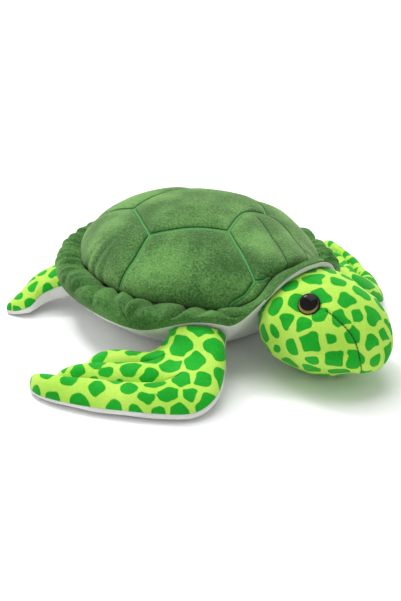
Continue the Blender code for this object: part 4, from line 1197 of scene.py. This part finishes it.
def pile_material(name, light, shade, finishes, seams=False, sheen=0.3, tint=(1, 1, 1)):
    """Brushed pile in two shades, partly painted sheen and shade, with painted shade in the seams' hollows,
    and stitches if it has seams.
    """
    made, shader, w = fabric(name, sheen=sheen, tint=tint)
    pile = w.group(pile_group(), tufts=1 / TUFT, patches=28.0)
    colour_out = w.mix(pile["Shade"], shade, light)
    normal = bump(w, shader, pile["Height"], PILE_DEPTH, 0.8)
    if seams:
        doubled = w.group(stitch_group(), distance=w.field("seam"), along=w.field("along"))
        single = w.group(stitch_group(), distance=w.field("thin"), along=w.field("thin_along"), offset=0.0,
                         width=0.00075)
        # Painted highlight on the ridge along a doubled seam
        strip = w.ramp(w.field("seam"), 0.0007, 0.0013, 0.9, 0.0)
        # Painted shade in the doubled seams' hollows, in the shade colour
        colour_out = w.mix(w.math('MULTIPLY', doubled["Hollow"], 0.4), colour_out, shade)
        colour_out = w.mix(strip, colour_out, finishes.seam_ridge_highlight)
        # Painted shade in the single seams' hollows, in the shade colour
        colour_out = w.mix(w.math('MULTIPLY', single["Hollow"], 0.35), colour_out, shade)
        # The stitch masks: dark stitches with painted shade in their grooves
        thread_and_groove_shade = w.math('MAXIMUM', doubled["Thread And Groove Shade"], single["Thread And Groove Shade"])
        colour_out = w.mix(thread_and_groove_shade, colour_out, finishes.thread_and_groove_shade)
        height = w.math('MINIMUM', doubled["Height"], single["Height"])
        bump(w, shader, height, 0.0009, 1.0, normal)
    w.put(shader.inputs["Base Color"], colour_out)
    w.put(shader.inputs["Roughness"], w.ramp(pile["Shade"], 0.0, 1.0, 0.95, 0.8))
    return made


def spotted_material(name, finishes, snout=False, edge=False):
    """Lime pile printed with green spots. A snout's seam is stitched dark, and a panel's edge is darkened
    with painted shade where its seam draws in.
    """
    made, shader, w = fabric(name, sheen=0.14, tint=(0.8, 1.0, 0.6))
    pile = w.group(pile_group(), tufts=1100.0, patches=36.0)
    spots = w.group(spot_group(), depth=w.field("spot"))
    ground = w.mix(pile["Shade"], finishes.lime_shade, finishes.lime)
    spot = w.mix(pile["Shade"], finishes.spot_edge_and_seam_shade, finishes.spot)
    spot = w.mix(w.math('MULTIPLY', spots["Rim"], 0.4), spot, finishes.spot_edge_and_seam_shade)
    colour_out = w.mix(spots["Spot"], ground, spot)
    normal = bump(w, shader, pile["Height"], 0.0004, 0.7)
    if snout:
        seam = w.group(stitch_group(), distance=w.field("seam"), along=w.field("along"), offset=0.0,
                       width=0.0006)
        # The snout's stitched seam: dark stitches with painted shade in their groove
        colour_out = w.mix(w.math('MULTIPLY', seam["Thread And Groove Shade"], 0.9), colour_out, finishes.thread_and_groove_shade)
        bump(w, shader, seam["Height"], 0.0008, 1.0, normal)
    if edge:
        # Painted shade along the panel's edge, where the seam between top and sole draws the fabric in
        dark = w.ramp(w.field("edge"), 0.0, 0.0016, 0.55, 0.0)
        colour_out = w.mix(dark, colour_out, finishes.spot_edge_and_seam_shade)
    w.put(shader.inputs["Base Color"], colour_out)
    w.put(shader.inputs["Roughness"], w.ramp(pile["Shade"], 0.0, 1.0, 0.92, 0.75))
    return made


def eye_material(finishes):
    """Black plastic with a gold iris of fibres behind a clear coat. The pupil sits a little high."""
    made = bpy.data.materials.new("safety_eye")
    made.use_nodes = True
    shader = made.node_tree.nodes["Principled BSDF"]
    shader.inputs["Coat Weight"].default_value = 1.0
    shader.inputs["Coat Roughness"].default_value = 0.05
    shader.inputs["Coat IOR"].default_value = 1.2
    shader.inputs["Roughness"].default_value = 0.3
    shader.inputs["Specular IOR Level"].default_value = 0.0
    w = Wiring(made.node_tree)
    x, y = w.field("face_x"), w.field("face_y")
    out = w.math('SQRT', w.math('ADD', w.math('MULTIPLY', x, x), w.math('MULTIPLY', y, y)))
    high = w.math('SUBTRACT', y, PUPIL_RISE)
    from_pupil = w.math('SQRT', w.math('ADD', w.math('MULTIPLY', x, x), w.math('MULTIPLY', high, high)))
    spokes = w.math('ARCTAN2', x, high)
    rays = w.add("ShaderNodeTexNoise", {"W": w.math('MULTIPLY', spokes, 9.0), "Detail": 2.0},
                 noise_dimensions='1D').outputs["Fac"]
    iris = w.mix(w.ramp(rays, 0.35, 0.65), finishes.iris_dark, finishes.iris)
    iris = w.mix(w.ramp(y, 0.25, -0.5, 0.8, 0.0), iris, (0.01, 0.008, 0.006))
    ring = w.math('MULTIPLY', w.ramp(from_pupil, 0.75, 0.84), w.ramp(out, 0.86, 0.92, 1.0, 0.0))
    w.put(shader.inputs["Base Color"], w.mix(ring, (0.004, 0.004, 0.004), iris))
    return made


def washer_material(finishes):
    """Moulded white plastic with faint flow marks."""
    made = bpy.data.materials.new("locking_washer")
    made.use_nodes = True
    shader = made.node_tree.nodes["Principled BSDF"]
    w = Wiring(made.node_tree)
    place = w.add("ShaderNodeTexCoord").outputs["Object"]
    marks = w.noise(place, 0.004, 3.0)
    w.put(shader.inputs["Base Color"], w.mix(marks, finishes.washer, (0.62, 0.62, 0.60)))
    w.put(shader.inputs["Roughness"], w.ramp(marks, 0.3, 0.7, 0.3, 0.5))
    return made


# Operators

HEAD_PRINT_SEED, FLIPPER_PRINT_SEED = 4, 7
# How a print is stretched along X, Y and Z: a number over one makes its spots narrower that way
AS_IT_IS = (1.0, 1.0, 1.0)
SEEN_FROM_SIDE = (1.3, 0.75, 1.0)
# Between which shares of a flipper's length its spots change from their size at the root to that at the tips
SPOTS_CHANGE = (0.3, 0.7)
# How far under a top, or over a sole, the point lies that its faces look away from
BELOW_TOP = 0.05
# The photograph's width and the camera's focal length, both in its pixels
PHOTO_WIDTH, FOCAL_PIXELS, SENSOR = 401, 1160, 36.0
CAMERA_PLACE, CAMERA_AIM = (0.7521, -0.6747, 0.4811), (0.01125, -0.00757, 0.0162)
# Each lamp's name, place, size and power
LAMPS = [("key", (-0.80, -0.10, 1.20), 0.3, 7.0),
         ("overhead", (-0.20, 0.05, 1.5), 1.2, 15.0),
         ("side", (0.2, -1.5, 0.9), 1.0, 1.0)]
# How bright the world lights the turtle, where a surface that looks at it sees it as white
WORLD_LIGHT = 0.56
FLOOR_REACH, FLOOR_LEVEL, GLOW_STARTS, GLOW_FULL = 1.7, -0.0003, 0.45, 1.3


class SewShell(bpy.types.Operator):
    """Sews the quilted dome of the shell"""

    bl_idname = "sea_turtle.sew_shell"
    bl_label = "Shell"

    def execute(self, context):
        scene = context.scene
        body, finishes = scene.turtle_body, scene.turtle_finishes
        points, fields = shell_points(body, scene.turtle_fineness)
        crown = points[0].mean(axis=0)
        floor_of_dome = (0.0, 0.0, body.dome_foot_height - 0.006)
        made = piece("shell_fabric", points, first=crown, last=floor_of_dome, fields=fields)
        material = pile_material("shell_pile", finishes.shell, finishes.shell_shade, finishes, seams=True,
                                 sheen=0.5, tint=(0.75, 1.0, 0.5))
        settle(made, "body", material, ["shell_cover"])
        return {'FINISHED'}


class SewRim(bpy.types.Operator):
    """Sews the gathered rim round the shell"""

    bl_idname = "sea_turtle.sew_rim"
    bl_label = "Rim"

    def execute(self, context):
        scene = context.scene
        body, finishes = scene.turtle_body, scene.turtle_finishes
        points = rim_points(body, scene.turtle_fineness)
        made = piece("rim_fabric", points)
        material = pile_material("rim_pile", finishes.rim, finishes.rim_shade, finishes, tint=(0.7, 1.0, 0.5))
        settle(made, "body", material, ["rim_cover"])
        return {'FINISHED'}


class SewBelly(bpy.types.Operator):
    """Sews the white belly under the rim"""

    bl_idname = "sea_turtle.sew_belly"
    bl_label = "Belly"

    def execute(self, context):
        scene = context.scene
        body, finishes = scene.turtle_body, scene.turtle_finishes
        points = belly_points(body, scene.turtle_head, scene.turtle_fineness)
        made = piece("belly_fabric", points, first=(0.0, 0.0, 0.03), last=(0.0, 0.0, 0.0),
                     inside=(0.0, 0.0, 0.04))
        material = pile_material("belly_pile", finishes.white, finishes.white_shade, finishes, sheen=0.2)
        settle(made, "body", material, ["belly_panel", "body_filling"])
        return {'FINISHED'}


class SewHead(bpy.types.Operator):
    """Sews and stuffs the head"""

    bl_idname = "sea_turtle.sew_head"
    bl_label = "Head"

    def execute(self, context):
        scene = context.scene
        head, finishes = scene.turtle_head, scene.turtle_finishes
        points, seam, along = head_points(head, scene.turtle_fineness)
        middle = (head.joint_reach, 0.0, head.joint_height)
        spot = spot_depth(scene.turtle_spots, points, scene.turtle_spots.head, HEAD_PRINT_SEED)
        made = piece("head_fabric", points, first=points[0].mean(axis=0), last=points[-1].mean(axis=0),
                     inside=middle, fields={"seam": seam, "along": along, "spot": spot})
        settle(made, "head", spotted_material("head_print", finishes, snout=True),
               ["head_skin", "head_filling"])
        return {'FINISHED'}


class SetEyes(bpy.types.Operator):
    """Sets the two safety eyes and finishes their washers"""

    bl_idname = "sea_turtle.set_eyes"
    bl_label = "Eyes"

    def execute(self, context):
        scene = context.scene
        head, finishes = scene.turtle_head, scene.turtle_finishes
        glossy, dull = eye_material(finishes), washer_material(finishes)
        for side, word in ((-1, "right"), (1, "left")):
            points, tips, fields = eye_points(head, side, scene.turtle_fineness)
            made = piece(f"eye_{word}_dome", points, first=tips[0], last=tips[1],
                         inside=points.mean(axis=(0, 1)), fields=fields)
            settle(made, "head", glossy, stands_for=[f"eye_{word}"])
            washer = frame["nodes"][f"eye_washer_{word}"]
            washer.data.materials.clear()
            washer.data.materials.append(dull)
        return {'FINISHED'}


def sew_flippers(scene, end, spot_sizes, stretches):
    """The top and the sole of both flippers at one end of the body.

    spot_sizes are the spots' sizes at the root and at the tips.
    """
    finishes, sizes = scene.turtle_finishes, scene.turtle_flippers
    white = pile_material(f"{end}_sole_pile", finishes.white, finishes.white_shade, finishes, sheen=0.2)
    for side in (-1, 1):
        flipper = Flipper(scene.turtle_body, sizes, end, side)
        print_on = spotted_material(flipper.name + "_print", finishes, edge=True)
        for panel, points in zip(("top", "sole"), flipper.grids(scene.turtle_fineness)):
            edge, from_root = edge_distance(points)
            fields = {"edge": edge}
            if panel == "top":
                sizes_there = np.interp(from_root / flipper.length, SPOTS_CHANGE, spot_sizes)
                seed = FLIPPER_PRINT_SEED + side
                fields["spot"] = spot_depth(scene.turtle_spots, points, sizes_there, seed, stretches[side])
            middle = points.mean(axis=(0, 1))
            middle[2] += -BELOW_TOP if panel == "top" else BELOW_TOP
            made = piece(f"{flipper.name}_{panel}_fabric", points, wrap=False, inside=middle, fields=fields)
            wall = made.modifiers.new("fabric", 'SOLIDIFY')
            wall.thickness = sizes.fabric
            wall.offset = -1.0
            nodes = ("top", "filling") if panel == "top" else ("sole",)
            settle(made, flipper.name, print_on if panel == "top" else white,
                   [f"{flipper.name}_{node}" for node in nodes])


class SewFrontFlippers(bpy.types.Operator):
    """Sews the two long front flippers with their fingers"""

    bl_idname = "sea_turtle.sew_front_flippers"
    bl_label = "Front Flippers"

    def execute(self, context):
        spots = context.scene.turtle_spots
        sizes = (spots.front_root, spots.front_tip)
        sew_flippers(context.scene, "front", sizes, {-1: AS_IT_IS, 1: SEEN_FROM_SIDE})
        return {'FINISHED'}


class SewRearFlippers(bpy.types.Operator):
    """Sews the two short rear flippers"""

    bl_idname = "sea_turtle.sew_rear_flippers"
    bl_label = "Rear Flippers"

    def execute(self, context):
        spots = context.scene.turtle_spots
        sizes = (spots.rear_root, spots.rear_tip)
        sew_flippers(context.scene, "rear", sizes, {-1: AS_IT_IS, 1: AS_IT_IS})
        return {'FINISHED'}


class SetStage(bpy.types.Operator):
    """Lays the pale floor and sets the lamps and the camera"""

    bl_idname = "sea_turtle.set_stage"
    bl_label = "Stage"

    def execute(self, context):
        scene = context.scene
        self.lay_floor(scene)
        self.hang_lamps(scene)
        camera = bpy.data.objects.new("camera", bpy.data.cameras.new("camera"))
        scene.collection.objects.link(camera)
        camera.data.sensor_fit = 'HORIZONTAL'
        camera.data.sensor_width = SENSOR
        camera.data.lens = SENSOR * FOCAL_PIXELS / PHOTO_WIDTH
        camera.location = CAMERA_PLACE
        aim = Vector(CAMERA_AIM) - camera.location
        camera.rotation_euler = aim.to_track_quat('-Z', 'Y').to_euler()
        scene.camera = camera
        scene.view_settings.view_transform = 'Standard'
        return {'FINISHED'}

    def lay_floor(self, scene):
        """A wide flat floor, pale and faintly uneven in tone. Far off it glows to the background's white."""
        line = np.linspace(-FLOOR_REACH, FLOOR_REACH, 3)
        x, y = np.meshgrid(line, line, indexing='ij')
        made = piece("floor", np.stack([x, y, 0 * x + FLOOR_LEVEL], axis=-1), wrap=False, inside=(0, 0, -1))
        material = bpy.data.materials.new("pale_floor")
        material.use_nodes = True
        w = Wiring(material.node_tree)
        shader = material.node_tree.nodes["Principled BSDF"]
        place = w.add("ShaderNodeTexCoord").outputs["Object"]
        tone = w.ramp(w.noise(place, 0.6, 1.0), 0.3, 0.7)
        pale = scene.turtle_finishes.floor
        w.put(shader.inputs["Base Color"], w.mix(tone, tuple(c * 0.98 for c in pale), pale))
        away = w.vector('LENGTH', place).outputs["Value"]
        glow = w.mix(w.ramp(away, GLOW_STARTS, GLOW_FULL), (0, 0, 0), (1 - WORLD_LIGHT,) * 3)
        w.put(shader.inputs["Emission Color"], glow)
        shader.inputs["Emission Strength"].default_value = 1.0
        shader.inputs["Roughness"].default_value = 0.9
        shader.inputs["Specular IOR Level"].default_value = 0.1
        made.data.materials.append(material)

    def hang_lamps(self, scene):
        """A small lamp behind, a broad one overhead and a faint one to the right, in a pale world."""
        for name, place, size, power in LAMPS:
            lamp = bpy.data.lights.new(name, 'AREA')
            lamp.shape = 'SQUARE'
            lamp.size = size
            lamp.energy = power
            made = bpy.data.objects.new(name, lamp)
            made.location = place
            aim = Vector(BODY_MIDDLE) - made.location
            made.rotation_euler = aim.to_track_quat('-Z', 'Y').to_euler()
            scene.collection.objects.link(made)
        world = bpy.data.worlds.new("pale_world")
        scene.world = world
        world.use_nodes = True
        w = Wiring(world.node_tree)
        background = world.node_tree.nodes["Background"]
        rays = w.add("ShaderNodeLightPath").outputs
        seen = w.math('MAXIMUM', rays["Is Camera Ray"], rays["Is Glossy Ray"])
        seen = w.math('MAXIMUM', seen, rays["Is Transmission Ray"])
        w.put(background.inputs["Color"], (1.0, 1.0, 1.0, 1.0))
        w.put(background.inputs["Strength"], w.math('MULTIPLY_ADD', seen, 1 - WORLD_LIGHT, WORLD_LIGHT))


STEPS = (SewShell, SewRim, SewBelly, SewHead, SetEyes, SewFrontFlippers, SewRearFlippers, SetStage)


class TurtlePanel(bpy.types.Panel):
    """Lists the turtle's pieces, its sizes and its colours"""

    bl_idname = "VIEW3D_PT_sea_turtle"
    bl_label = "Plush Sea Turtle"
    bl_space_type = 'VIEW_3D'
    bl_region_type = 'UI'
    bl_category = "Sea Turtle"

    def draw(self, context):
        column = self.layout.column()
        for step in STEPS:
            column.operator(step.bl_idname)
        for group, kind in GROUPS.items():
            column.separator()
            for label in kind.__annotations__:
                column.prop(getattr(context.scene, group), label)


CLASSES = (*GROUPS.values(), *STEPS, TurtlePanel)


def register():
    for kind in CLASSES:
        bpy.utils.register_class(kind)
    for name, kind in GROUPS.items():
        setattr(bpy.types.Scene, name, PointerProperty(type=kind))


def unregister():
    for name in GROUPS:
        delattr(bpy.types.Scene, name)
    for kind in reversed(CLASSES):
        bpy.utils.unregister_class(kind)


def main():
    register()
    for step in STEPS:
        group, name = step.bl_idname.split(".")
        getattr(getattr(bpy.ops, group), name)()


if __name__ == "__main__":
    main()
